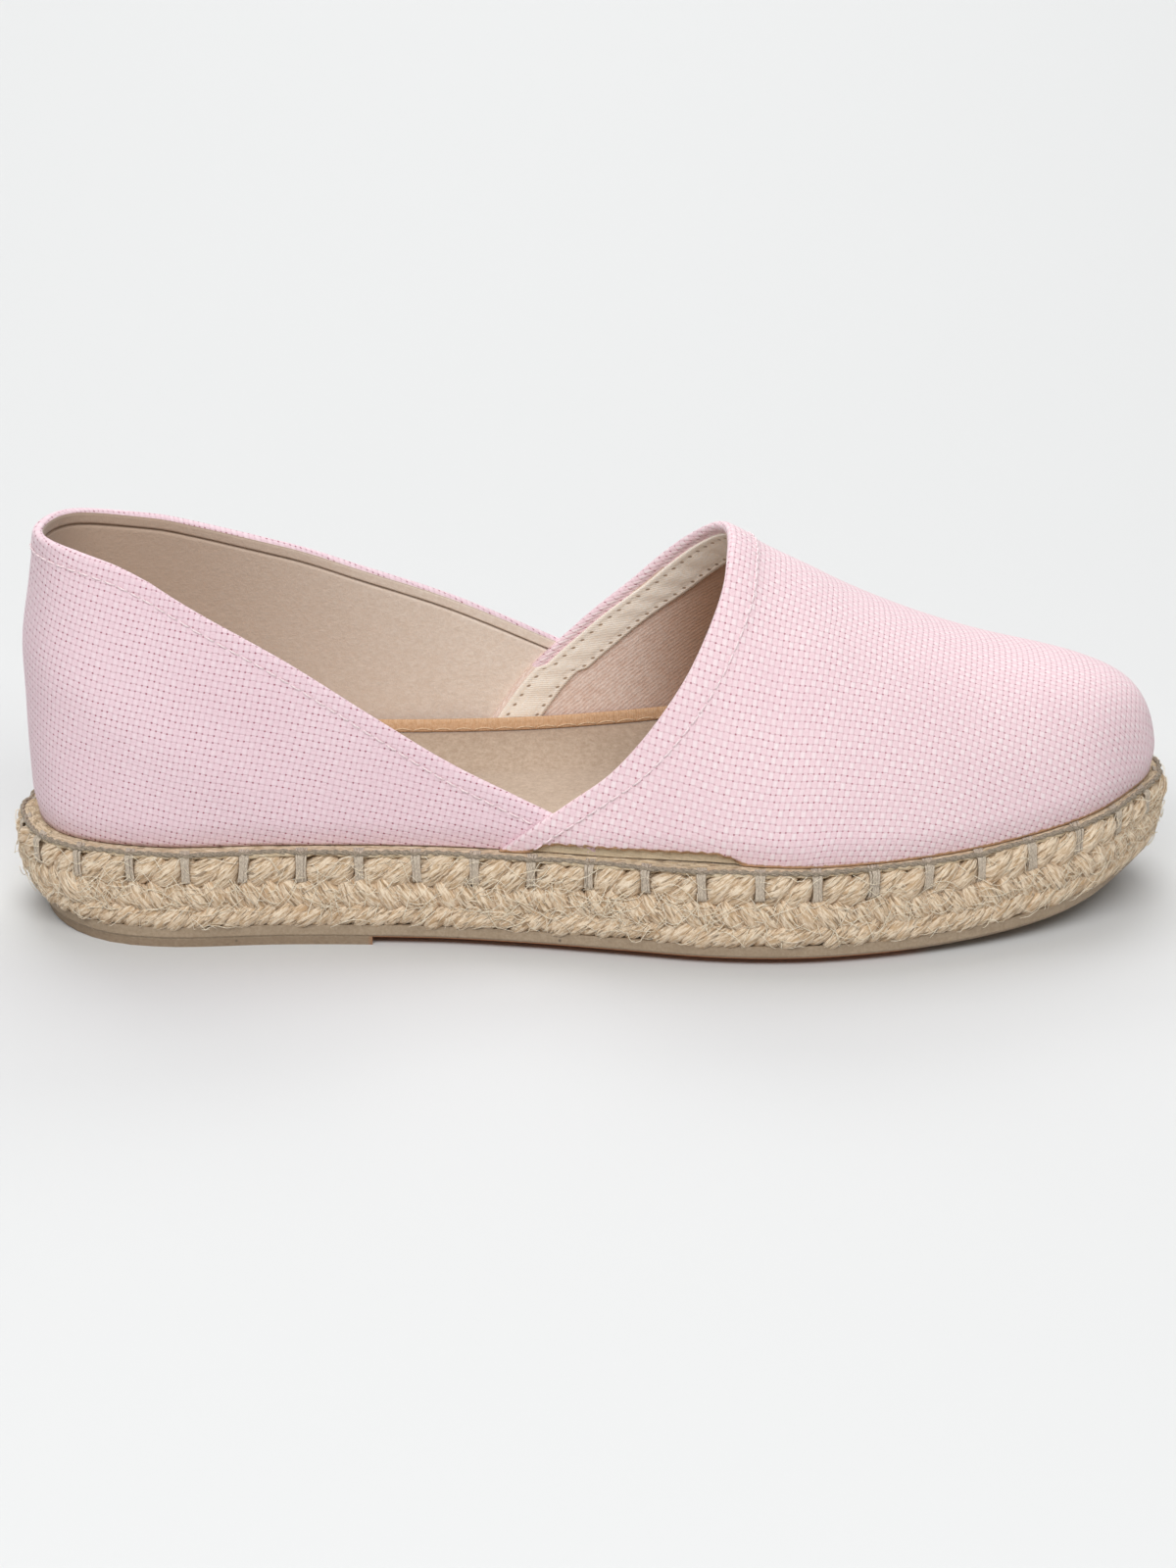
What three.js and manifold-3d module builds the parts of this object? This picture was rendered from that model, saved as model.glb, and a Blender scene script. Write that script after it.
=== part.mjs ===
// A women's espadrille for the right foot: a canvas upper cut low at both sides, on a braided jute sole
// with a thin rubber outsole. Millimetres: +X to the toe, +Y to the inner (medial) side, +Z up, and the
// sole stands on Z = 0.
import * as THREE from "three";
import { mergeVertices } from "three/addons/utils/BufferGeometryUtils.js";
import Module from "manifold-3d";

const wasm = await Module();
wasm.setup();

// Driving dimensions
const EU_SIZE = 37;
const PARIS_POINT = 20 / 3;
const LAST_LENGTH = EU_SIZE * PARIS_POINT;
const SOLE_BEYOND_LAST = 5.3;
const SOLE_LENGTH = LAST_LENGTH + SOLE_BEYOND_LAST;
const PIECE_GAP = 0.3;

const TREAD_HEIGHT = 1.8;
const RUBBER_HEIGHT = 3;
const JUTE_TOP = 20.6;
const WELT_THICKNESS = 0.5;
const TOE_SPRING = 5.6;
const TOE_SPRING_START = 180;

const WALL = 1.8;
const HEEL_COLLAR_HEIGHT = 63;
const INSTEP_HEIGHT = 62.8;
const FOOTBED_THICKNESS = 3.6;
const STITCHES_PER_SIDE = 25;

// Outline of the jute sole seen from above: half widths either side of the shoe's long axis,
// at a share of the sole's length counted from the heel.
const SOLE_PLAN = [
  { along: 0, lateral: 0, medial: 0 },
  { along: 0.032, lateral: 20.5, medial: 20.5 },
  { along: 0.123, lateral: 30.2, medial: 30.2 },
  { along: 0.238, lateral: 30, medial: 29.4 },
  { along: 0.357, lateral: 31.8, medial: 28.2 },
  { along: 0.44, lateral: 35.4, medial: 29 },
  { along: 0.516, lateral: 40, medial: 32.4 },
  { along: 0.595, lateral: 44.8, medial: 37.4 },
  { along: 0.667, lateral: 46, medial: 40.8 },
  { along: 0.734, lateral: 43.8, medial: 41.6 },
  { along: 0.817, lateral: 38.2, medial: 39.5 },
  { along: 0.881, lateral: 31.4, medial: 35.8 },
  { along: 0.933, lateral: 23.6, medial: 30.2 },
  { along: 0.976, lateral: 11.8, medial: 20 },
  { along: 1, lateral: -2.6, medial: 2.6 },
];

// Height of the last's top line over the sole, at a distance from the heel. Behind the instep it is
// the imaginary top of the last, which only gives the side walls their curve.
const LAST_RIDGE = [
  { x: 0, height: 98 },
  { x: 60, height: 96 },
  { x: 100, height: 86 },
  { x: 130, height: 74 },
  { x: 155.6, height: INSTEP_HEIGHT },
  { x: 164, height: 57.6 },
  { x: 173, height: 52.6 },
  { x: 181, height: 48 },
  { x: 190, height: 43.4 },
  { x: 199, height: 39.2 },
  { x: 208, height: 35.4 },
  { x: 216, height: 32.4 },
  { x: 225, height: 29.4 },
  { x: 233.5, height: 26.2 },
  { x: 241.5, height: 22 },
  { x: 246, height: 17.6 },
  { x: 248.5, height: 12 },
];

// Top line of the heel quarter: height over the sole's top at a distance from the heel.
const QUARTER_TOP_LATERAL = [
  { x: 8, height: 63.6 },
  { x: 20.5, height: 61.4 },
  { x: 32, height: 56.5 },
  { x: 47.6, height: 47.6 },
  { x: 63, height: 38 },
  { x: 79, height: 27.3 },
  { x: 94.5, height: 17.4 },
  { x: 106.5, height: 11.5 },
  { x: 124, height: 3.5 },
];
const QUARTER_TOP_MEDIAL = [
  { x: 8, height: 62 },
  { x: 20.8, height: 60 },
  { x: 37.8, height: 57.3 },
  { x: 60.7, height: 51.6 },
  { x: 78, height: 45.7 },
  { x: 95.3, height: 38.9 },
  { x: 112.6, height: 30.6 },
  { x: 130, height: 20.5 },
  { x: 147, height: 6 },
];

// Rear edge of the vamp: its distance from the heel, against the share of the way
// round the last from the sole (0) to the instep (1).
const VAMP_EDGE = [
  { round: 0, lateral: 105.5, medial: 99 },
  { round: 0.05, lateral: 112.5, medial: 102.5 },
  { round: 0.1, lateral: 119.7, medial: 106 },
  { round: 0.18, lateral: 130, medial: 112.5 },
  { round: 0.3, lateral: 139.5, medial: 124.5 },
  { round: 0.45, lateral: 147.2, medial: 137.8 },
  { round: 0.66, lateral: 153.3, medial: 148.8 },
  { round: 0.86, lateral: 155.4, medial: 154.4 },
  { round: 1, lateral: 155.8, medial: 155.8 },
];

const smooth = (from, to, x) => {
  const t = Math.min(1, Math.max(0, (x - from) / (to - from)));
  return t * t * (3 - 2 * t);
};
const mix = (a, b, share) => a + (b - a) * share;

// A smooth curve through rows of [t, value], as a function of t.
function curveThrough(rows) {
  const slopeAt = (i) => {
    const before = rows[Math.max(i - 1, 0)];
    const after = rows[Math.min(i + 1, rows.length - 1)];
    return (after[1] - before[1]) / (after[0] - before[0]);
  };
  return (t) => {
    const last = rows.length - 2;
    let i = 0;
    while (i < last && t >= rows[i + 1][0]) i++;
    const span = rows[i + 1][0] - rows[i][0];
    const s = Math.min(1, Math.max(0, (t - rows[i][0]) / span));
    const rise = rows[i + 1][1] - rows[i][1];
    const bend = s * s * (3 - 2 * s);
    const leave = s * (1 - s) * (1 - s) * span * slopeAt(i);
    const arrive = s * s * (s - 1) * span * slopeAt(i + 1);
    return rows[i][1] + rise * bend + leave + arrive;
  };
}

// The outline is walked by an angle: 0 at the heel, PI at the toe, on to 2 PI back along the medial side.
// It crowds the points at both round ends.
const FULL_TURN = 2 * Math.PI;
const turnAt = (x, length = SOLE_LENGTH) =>
  Math.acos(Math.max(-1, 1 - (2 * x) / length));

const lateralRows = SOLE_PLAN.map((row) => [
  turnAt(row.along * SOLE_LENGTH),
  -row.lateral,
]);
const medialRows = SOLE_PLAN.map((row) => [
  FULL_TURN - turnAt(row.along * SOLE_LENGTH),
  row.medial,
])
  .reverse()
  .slice(1);
const wrapBefore = [medialRows.at(-2)[0] - FULL_TURN, medialRows.at(-2)[1]];
const wrapAfter = [lateralRows[1][0] + FULL_TURN, lateralRows[1][1]];
const soleAcross = curveThrough([
  wrapBefore,
  ...lateralRows,
  ...medialRows,
  wrapAfter,
]);

// A point of the sole's outline, moved in from it by inset along the outline's own normal.
function soleEdge(turn, inset = 0) {
  const at = (angle) => {
    const round = (angle + FULL_TURN) % FULL_TURN;
    return [(SOLE_LENGTH * (1 - Math.cos(round))) / 2, soleAcross(round)];
  };
  const step = 1e-3;
  const [x, y] = at(turn);
  const [x0, y0] = at(turn - step);
  const [x1, y1] = at(turn + step);
  const run = Math.hypot(x1 - x0, y1 - y0);
  return { x: x - ((y1 - y0) / run) * inset, y: y + ((x1 - x0) / run) * inset };
}

// Angles that cut one side of the outline, heel to toe, into equal lengths.
function evenTurns(side, count) {
  const fine = 1200;
  const endAngle = 0.012;
  const turns = [];
  const lengths = [];
  let walked = 0;
  let before = null;
  for (let i = 0; i <= fine; i++) {
    const angle = mix(endAngle, Math.PI - endAngle, i / fine);
    const turn = side < 0 ? angle : FULL_TURN - angle;
    const here = soleEdge(turn);
    if (before) walked += Math.hypot(here.x - before.x, here.y - before.y);
    turns.push(turn);
    lengths.push(walked);
    before = here;
  }
  const chosen = [];
  for (let k = 0, i = 0; k <= count; k++) {
    while (i < fine && lengths[i] < (walked * k) / count) i++;
    chosen.push(turns[i]);
  }
  return chosen;
}

// Heights of the sole's layers
const toeSpring = (x) =>
  TOE_SPRING *
  (Math.max(0, x - TOE_SPRING_START) / (SOLE_LENGTH - TOE_SPRING_START)) ** 2;
const TOE_THINNING = 1.6;
const HEEL_ROLL = 0.7;
const underLift = (x) =>
  toeSpring(x) +
  TOE_THINNING * smooth(215, SOLE_LENGTH, x) +
  HEEL_ROLL * (1 - smooth(0, 20, x));
// The sole's side slants in under it at both round ends.
const HEEL_TUCK = 4.4;
const TOE_TUCK = 3.4;
const endTuck = (x) =>
  HEEL_TUCK * (1 - smooth(0, 26, x)) + TOE_TUCK * smooth(222, SOLE_LENGTH, x);
const RUBBER_TOP = TREAD_HEIGHT + RUBBER_HEIGHT;
const JUTE_BOTTOM = RUBBER_TOP + PIECE_GAP;
const WELT_BOTTOM = JUTE_TOP + PIECE_GAP;
const WELT_TOP = WELT_BOTTOM + WELT_THICKNESS;
const UPPER_BASE = WELT_TOP + PIECE_GAP;

// A closed body lofted heel to toe. Each section holds a lateral and a medial list of points, bottom to top.
function loftHalves(sections) {
  const rows = sections[0].lateral.length;
  const positions = sections.flatMap((s) => [...s.lateral, ...s.medial]).flat();
  const index = [];
  const lateral = (i, j) => i * 2 * rows + j;
  const medial = (i, j) => i * 2 * rows + rows + j;
  const quad = (a, b, c, d) => index.push(a, b, c, a, c, d);
  const top = rows - 1;
  const end = sections.length - 1;
  for (let i = 0; i < end; i++) {
    for (let j = 0; j < top; j++) {
      quad(lateral(i, j), lateral(i + 1, j), lateral(i + 1, j + 1), lateral(i, j + 1));
      quad(medial(i + 1, j), medial(i, j), medial(i, j + 1), medial(i + 1, j + 1));
    }
    quad(lateral(i, top), lateral(i + 1, top), medial(i + 1, top), medial(i, top));
    quad(lateral(i + 1, 0), lateral(i, 0), medial(i, 0), medial(i + 1, 0));
  }
  for (let j = 0; j < top; j++) {
    quad(medial(0, j), lateral(0, j), lateral(0, j + 1), medial(0, j + 1));
    quad(lateral(end, j), medial(end, j), medial(end, j + 1), lateral(end, j + 1));
  }
  return indexed(positions, index);
}

// A closed wall between an outer and an inner grid of points of the same size.
function closedWall(outer, inner) {
  const rows = outer.length;
  const columns = outer[0].length;
  const positions = [...outer.flat(), ...inner.flat()].flat();
  const index = [];
  const out = (i, j) => i * columns + j;
  const inn = (i, j) => rows * columns + out(i, j);
  const quad = (a, b, c, d) => index.push(a, b, c, a, c, d);
  for (let i = 0; i < rows - 1; i++) {
    for (let j = 0; j < columns - 1; j++) {
      quad(out(i, j), out(i + 1, j), out(i + 1, j + 1), out(i, j + 1));
      quad(inn(i, j), inn(i, j + 1), inn(i + 1, j + 1), inn(i + 1, j));
    }
    quad(out(i + 1, 0), out(i, 0), inn(i, 0), inn(i + 1, 0));
    quad(out(i, columns - 1), out(i + 1, columns - 1), inn(i + 1, columns - 1), inn(i, columns - 1));
  }
  for (let j = 0; j < columns - 1; j++) {
    quad(out(0, j), out(0, j + 1), inn(0, j + 1), inn(0, j));
    quad(out(rows - 1, j + 1), out(rows - 1, j), inn(rows - 1, j), inn(rows - 1, j + 1));
  }
  return indexed(positions, index);
}

function indexed(positions, index) {
  const geometry = new THREE.BufferGeometry();
  geometry.setAttribute("position", new THREE.Float32BufferAttribute(positions, 3));
  geometry.setIndex(index);
  return geometry;
}

function toSolid(geometry) {
  geometry.deleteAttribute("normal");
  geometry.deleteAttribute("uv");
  const merged = mergeVertices(geometry, 1e-4);
  return new wasm.Manifold(
    new wasm.Mesh({
      numProp: 3,
      vertProperties: new Float32Array(merged.attributes.position.array),
      triVerts: new Uint32Array(merged.index.array),
    }),
  );
}

function toGeometry(solid) {
  const mesh = solid.getMesh();
  return indexed(Array.from(mesh.vertProperties), Array.from(mesh.triVerts));
}

// Sections of the sole from heel to toe. profile(x, station) lists each section's [inset, height] pairs.
function soleSections(count, profile) {
  const sides = [-1, 1].map((side) => evenTurns(side, count));
  return sides[0].map((_, i) => {
    const [lateral, medial] = sides.map((turns) => {
      const middle = soleEdge(turns[i]).x;
      return profile(middle, i).map(([inset, height]) => {
        const edge = soleEdge(turns[i], inset);
        return [edge.x, edge.y, height(edge.x)];
      });
    });
    return { lateral, medial };
  });
}

// Rubber outsole: a band under the whole jute sole, a heel tread flush with it and a forefoot tread set in.
const RUBBER_INSET = 0.9;
const RUBBER_CHAMFER = { inset: 0.7, height: 0.8 };
const HEEL_TREAD = { from: -5, to: 77.5, inset: 1.6 };
const FOREFOOT_TREAD = { from: 138, to: 226, inset: 9 };
const TREAD_ROOT = 0.6;
const TREAD_DRAFT = 0.2;
const BAND_STATIONS = 64;
const TREAD_STATIONS = 56;

function makeOutsole() {
  const band = soleSections(BAND_STATIONS, (x) => [
    [RUBBER_INSET + RUBBER_CHAMFER.inset + endTuck(x), (at) => TREAD_HEIGHT + underLift(at)],
    [
      RUBBER_INSET + endTuck(x) * 0.9,
      (at) => TREAD_HEIGHT + RUBBER_CHAMFER.height + underLift(at),
    ],
    [RUBBER_INSET + endTuck(x) * 0.7, (at) => RUBBER_TOP + underLift(at)],
  ]);
  const tread = ({ from, to, inset }) => {
    const slab = soleSections(TREAD_STATIONS, (x) => [
      [inset + endTuck(x), (at) => underLift(at)],
      [
        inset - TREAD_DRAFT + endTuck(x),
        (at) => TREAD_HEIGHT + TREAD_ROOT + underLift(at),
      ],
    ]);
    const stretch = new THREE.BoxGeometry(to - from, SOLE_LENGTH, SOLE_LENGTH);
    stretch.translate((from + to) / 2, 0, 0);
    return toSolid(loftHalves(slab)).intersect(toSolid(stretch));
  };
  return toGeometry(
    toSolid(loftHalves(band)).add(tread(HEEL_TREAD)).add(tread(FOREFOOT_TREAD)),
  );
}

// Braided jute sole: three plaits stand out of its side as ribs, and every sewn stitch pulls the top one in.
const JUTE_RIBS = [
  { bottom: 0, swell: 1.2, inset: 0.5 },
  { bottom: 0.34, swell: 0.9, inset: 0 },
  { bottom: 0.66, swell: 1.4, inset: 0.1 },
];
const STATIONS_PER_STITCH = 3;
const STITCH_PULL = 0.9;

function makeMidsole() {
  const heightAt = (share) => (x) =>
    mix(JUTE_BOTTOM + underLift(x), JUTE_TOP + toeSpring(x), share);
  const tuckAt = (x, share) => 0.6 * endTuck(x) * (1 - share) ** 2.5;
  return loftHalves(
    soleSections(STITCHES_PER_SIDE * STATIONS_PER_STITCH, (x, station) => {
      const stitched = station % STATIONS_PER_STITCH === 0;
      const profile = JUTE_RIBS.flatMap((rib, k) => {
        const top = k + 1 < JUTE_RIBS.length ? JUTE_RIBS[k + 1].bottom : 1;
        const pull = stitched && k === JUTE_RIBS.length - 1 ? STITCH_PULL : 0;
        return [0, 0.25, 0.75].map((share) => {
          const up = mix(rib.bottom, top, share);
          const hollow = share === 0 ? rib.swell : pull;
          return [rib.inset + hollow + tuckAt(x, up), heightAt(up)];
        });
      });
      return [...profile, [JUTE_RIBS.at(-1).swell, heightAt(1)]];
    }),
  );
}

// Welt: the flat canvas strip that the stitches catch, under the upper's edge.
const WELT_INSET = 1.3;
const WELT_STATIONS = 72;

function makeWelt() {
  return loftHalves(
    soleSections(WELT_STATIONS, () => [
      [WELT_INSET, (at) => WELT_BOTTOM + toeSpring(at)],
      [WELT_INSET, (at) => WELT_TOP + toeSpring(at)],
    ]),
  );
}

// The last. Its base outline lies inside the sole's, and its sections are arcs from side to side.
const baseInset = (x) => 4.2 - 2.1 * smooth(146, 174, x);
const baseEdge = (turn) => {
  const edge = soleEdge(turn);
  return soleEdge(turn, baseInset(edge.x));
};
const UPPER_TIP = baseEdge(Math.PI).x;

// Where the last's base outline crosses a distance from the heel, on one side.
const BASE_SAMPLES = 720;
const baseSamples = [-1, 1].map((side) =>
  Array.from({ length: BASE_SAMPLES + 1 }, (_, i) => {
    const angle = (Math.PI * i) / BASE_SAMPLES;
    return baseEdge(side < 0 ? angle : FULL_TURN - angle);
  }),
);
function baseAcross(x, side) {
  const samples = baseSamples[side < 0 ? 0 : 1];
  let i = 1;
  while (i < samples.length - 1 && samples[i].x < x) i++;
  const span = samples[i].x - samples[i - 1].x;
  const share = span > 0 ? Math.min(1, (x - samples[i - 1].x) / span) : 1;
  return mix(samples[i - 1].y, samples[i].y, share);
}
const spineAcross = (x) =>
  ((baseAcross(x, -1) + baseAcross(x, 1)) / 2) * smooth(60, 150, x);
const halfWidth = (x, side) => side * (baseAcross(x, side) - spineAcross(x));

const ridgeCurve = curveThrough([
  ...LAST_RIDGE.map((row) => [turnAt(row.x, UPPER_TIP), row.height]),
  [Math.PI, 0],
]);
const ridgeHeight = (x) => ridgeCurve(turnAt(x, UPPER_TIP));

// Exponents of the arcs: nearly elliptic at the instep, squarer over the toes.
const arcAcross = (x) => 1.9 + 0.5 * smooth(150, 235, x);
const arcUp = (x) => 1.9 + 0.6 * smooth(150, 235, x);

// How far the wall stands in from the base outline, at a height over the sole.
function heelInset(height, x) {
  const share = Math.max(0, height) / HEEL_COLLAR_HEIGHT;
  const belly = Math.sin(Math.PI * Math.min(1, share));
  const back = 2 * share ** 2 - 1.4 * belly;
  const side = 5 * share ** 2 - 1.2 * belly;
  return mix(back, side, smooth(8, 42, x));
}
const domeShare = (x) => smooth(55, 135, x);

function wallInset(x, height, side) {
  const share = Math.min(1, Math.max(0, height) / ridgeHeight(x));
  const reach = (1 - share ** arcUp(x)) ** (1 / arcAcross(x));
  const dome = halfWidth(x, side) * (1 - reach);
  return mix(heelInset(height, x), dome, domeShare(x));
}

// A point of the last's surface in front of the heel: x from the heel, round from 0 at the sole to 1 on top.
function lastPoint(x, round, side) {
  const height = ridgeHeight(x) * Math.sin((round * Math.PI) / 2) ** (2 / arcUp(x));
  const reach = side * (halfWidth(x, side) - wallInset(x, height, side));
  return new THREE.Vector3(x, spineAcross(x) + reach, UPPER_BASE + toeSpring(x) + height);
}

// A point of the last's wall round the heel and along the sides, at a turn of the outline and a height.
function quarterPoint(turn, height) {
  const edge = soleEdge(turn);
  const side = turn > 0 && turn < Math.PI ? -1 : 1;
  const at = soleEdge(turn, baseInset(edge.x) + wallInset(edge.x, height, side));
  return new THREE.Vector3(at.x, at.y, UPPER_BASE + toeSpring(at.x) + height);
}

// The surface normal, out of the shoe, from two short steps along the surface.
const ANGLE_STEP = 0.004;
const HEIGHT_STEP = 0.2;
function outward(point, alongStep, roundStep) {
  const a = alongStep.clone().sub(point);
  const b = roundStep.clone().sub(point);
  return a.cross(b).normalize();
}

// Where the panels cross, the outer one stands off the last by nearly a wall.
const CROSSING_LIFT = 1.6;
const vampLift = (x, side) =>
  side < 0 ? CROSSING_LIFT * (1 - smooth(124, 150, x)) : 0;
const quarterLift = (x, side) =>
  side > 0 ? CROSSING_LIFT * smooth(72, 100, x) : 0;

const vampEdgeCurves = { "-1": "lateral", 1: "medial" };
const vampEdgeAt = (side) =>
  curveThrough(VAMP_EDGE.map((row) => [row.round, row[vampEdgeCurves[side]]]));

// Columns of the vamp crowd towards the sole, and its rows end just short of the tip.
const EDGE_CROWDING = 1.45;
const TIP_ANGLE = 0.035;
const alongLast = (angle) => (UPPER_TIP * (1 - Math.cos(angle))) / 2;

function makeVampWall() {
  const columns = 32;
  const rows = 20;
  const outer = [];
  const inner = [];
  const edges = { "-1": vampEdgeAt(-1), 1: vampEdgeAt(1) };
  for (let i = 0; i <= rows; i++) {
    outer.push([]);
    inner.push([]);
    for (let j = 0; j <= columns; j++) {
      const sweep = (2 * j) / columns - 1;
      const side = sweep < 0 ? -1 : 1;
      const round = (1 - Math.abs(sweep)) ** EDGE_CROWDING;
      const start = turnAt(edges[side](round), UPPER_TIP);
      const angle = mix(start, Math.PI - TIP_ANGLE, i / rows);
      const x = alongLast(angle);
      const point = lastPoint(x, round, side);
      const ahead = lastPoint(alongLast(angle + ANGLE_STEP), round, side);
      const above = lastPoint(x, Math.min(1, round + ANGLE_STEP), side);
      const below = lastPoint(x, Math.max(0, round - ANGLE_STEP), side);
      const up = side < 0 ? above.sub(below) : below.sub(above);
      const normal = outward(point, ahead, point.clone().add(up));
      const lift = vampLift(x, side) * (1 - smooth(0.25, 0.6, round));
      const skin = point.clone().addScaledVector(normal, lift);
      const lining = point.clone().addScaledVector(normal, lift - WALL);
      if (round === 0) {
        skin.z = point.z;
        lining.z = point.z;
      }
      outer[i].push(skin.toArray());
      inner[i].push(lining.toArray());
    }
  }
  return closedWall(outer, inner);
}

function makeQuarterWall() {
  const stations = 48;
  const rows = 8;
  const backRow = [0, HEEL_COLLAR_HEIGHT];
  const top = curveThrough([
    ...QUARTER_TOP_MEDIAL.map((row) => [-turnAt(row.x), row.height]).reverse(),
    backRow,
    ...QUARTER_TOP_LATERAL.map((row) => [turnAt(row.x), row.height]),
  ]);
  const from = -turnAt(QUARTER_TOP_MEDIAL.at(-1).x);
  const to = turnAt(QUARTER_TOP_LATERAL.at(-1).x);
  const wrap = (angle) => (angle + FULL_TURN) % FULL_TURN;
  const outer = [];
  const inner = [];
  for (let i = 0; i <= stations; i++) {
    outer.push([]);
    inner.push([]);
    const angle = mix(from, to, i / stations);
    const side = angle > 0 ? -1 : 1;
    for (let j = 0; j <= rows; j++) {
      const height = (top(angle) * j) / rows;
      const point = quarterPoint(wrap(angle), height);
      const ahead = quarterPoint(wrap(angle + ANGLE_STEP), height);
      const above = quarterPoint(wrap(angle), height + HEIGHT_STEP);
      const normal = outward(point, ahead, above);
      const lift = quarterLift(point.x, side);
      const skin = point.clone().addScaledVector(normal, lift);
      const lining = point.clone().addScaledVector(normal, lift - WALL);
      if (j === 0) {
        skin.z = point.z;
        lining.z = point.z;
      }
      outer[i].push(skin.toArray());
      inner[i].push(lining.toArray());
    }
  }
  return closedWall(outer, inner);
}

// The upper: vamp and heel quarter, sewn into one hollow wall, open at the collar and underneath.
const makeUpper = () =>
  toGeometry(toSolid(makeVampWall()).add(toSolid(makeQuarterWall())));

// Footbed: a foam sock on the welt, flat in the middle and raised towards the arch.
const FOOTBED_CLEARANCE = 0.55;
const TOE_CLEARANCE = 2;
const MEDIAL_RISE = 4.8;
const FOOTBED_STATIONS = 52;
const medialRise = (x) => MEDIAL_RISE * smooth(20, 80, x) * (1 - smooth(140, 200, x));

// A point inside the wall, clear of its lining, at a height over the sole and a further step inward.
function insideWall(turn, height, inward = 0) {
  const { x } = soleEdge(turn);
  const side = turn < Math.PI ? -1 : 1;
  const lining = baseInset(x) + Math.max(0, wallInset(x, height, side)) + WALL;
  const toeClearance = TOE_CLEARANCE * smooth(205, 245, x);
  return soleEdge(turn, lining + FOOTBED_CLEARANCE + toeClearance + inward);
}

const footbedRim = (x, side) =>
  FOOTBED_THICKNESS + (side > 0 ? medialRise(x) : 0);

// Height of the footbed's top, at a share of the way in from its edge to the middle.
const footbedTop = (x, side, share) =>
  UPPER_BASE +
  toeSpring(x) +
  mix(footbedRim(x, side), FOOTBED_THICKNESS, smooth(0, 0.7, share));

function makeInsole() {
  const insideShares = [0, 0.23, 0.46, 0.69];
  const sections = [];
  const sides = [-1, 1].map((side) => evenTurns(side, FOOTBED_STATIONS));
  for (let i = 0; i <= FOOTBED_STATIONS; i++) {
    const [lateral, medial] = [-1, 1].map((side, s) => {
      const turn = sides[s][i];
      const edge = insideWall(turn, FOOTBED_THICKNESS + MEDIAL_RISE);
      const top = insideShares.map((share) => {
        const inward = share * Math.abs(edge.y);
        const at = insideWall(turn, FOOTBED_THICKNESS + MEDIAL_RISE, inward);
        return [at.x, at.y, footbedTop(at.x, side, share)];
      });
      return [[edge.x, edge.y, UPPER_BASE + toeSpring(edge.x)], ...top];
    });
    sections.push({ lateral, medial });
  }
  return loftHalves(sections);
}

// Binding: a woven tape sewn over the footbed's edge, standing up against the upper's lining.
const TAPE_HEIGHT = { arch: 2.8, elsewhere: 1.5 };
const TAPE_THICKNESS = 1.1;
const tapeHeight = (x, side) => {
  const arch = side > 0 ? smooth(15, 70, x) * (1 - smooth(160, 230, x)) : 0;
  return mix(TAPE_HEIGHT.elsewhere, TAPE_HEIGHT.arch, arch);
};

function makeBinding() {
  const stations = 72;
  const turns = [...evenTurns(-1, stations / 2), ...evenTurns(1, stations / 2).reverse()];
  const positions = [];
  const index = [];
  for (const turn of turns) {
    const middle = soleEdge(turn).x;
    const side = turn < Math.PI ? -1 : 1;
    const foot = footbedRim(middle, side) + PIECE_GAP;
    const top = foot + tapeHeight(middle, side);
    const corners = [
      [0, foot],
      [TAPE_THICKNESS, foot],
      [TAPE_THICKNESS, top - TAPE_THICKNESS / 2],
      [0, top],
    ];
    for (const [inward, height] of corners) {
      const at = insideWall(turn, top, inward);
      positions.push(at.x, at.y, UPPER_BASE + toeSpring(at.x) + height);
    }
  }
  for (let i = 0; i < turns.length; i++) {
    const next = (i + 1) % turns.length;
    for (let j = 0; j < 4; j++) {
      const beside = (j + 1) % 4;
      index.push(4 * i + j, 4 * next + beside, 4 * next + j);
      index.push(4 * i + j, 4 * i + beside, 4 * next + beside);
    }
  }
  return indexed(positions, index);
}

const CANVAS_PINK = new THREE.MeshStandardMaterial({ color: 0xf0d3da, roughness: 0.9, metalness: 0 });
const JUTE = new THREE.MeshStandardMaterial({ color: 0xc9ae86, roughness: 0.95, metalness: 0 });
const WELT_CLOTH = new THREE.MeshStandardMaterial({ color: 0xb8a78e, roughness: 0.95, metalness: 0 });
const RUBBER = new THREE.MeshStandardMaterial({ color: 0x9d8a73, roughness: 0.7, metalness: 0 });
const TAPE = new THREE.MeshStandardMaterial({ color: 0xd1a986, roughness: 0.85, metalness: 0 });
const MICROSUEDE = new THREE.MeshStandardMaterial({ color: 0xcaae98, roughness: 0.95, metalness: 0 });

function named(name, geometry, material) {
  const mesh = new THREE.Mesh(geometry, material);
  mesh.name = name;
  return mesh;
}

const shoe = new THREE.Group();
shoe.add(
  named("outsole", makeOutsole(), RUBBER),
  named("midsole", makeMidsole(), JUTE),
  named("welt", makeWelt(), WELT_CLOTH),
  named("upper", makeUpper(), CANVAS_PINK),
  named("insole", makeInsole(), MICROSUEDE),
  named("insole_binding", makeBinding(), TAPE),
);

// The frame's origin is under the middle of the sole.
const soleBox = new THREE.Box3().setFromObject(shoe.getObjectByName("midsole"));
const middle = soleBox.getCenter(new THREE.Vector3());
shoe.position.set(-middle.x, -middle.y, 0);

export default shoe;
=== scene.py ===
import math
from functools import partial

import bpy
import numpy as np
from mathutils import Matrix, Vector


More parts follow.
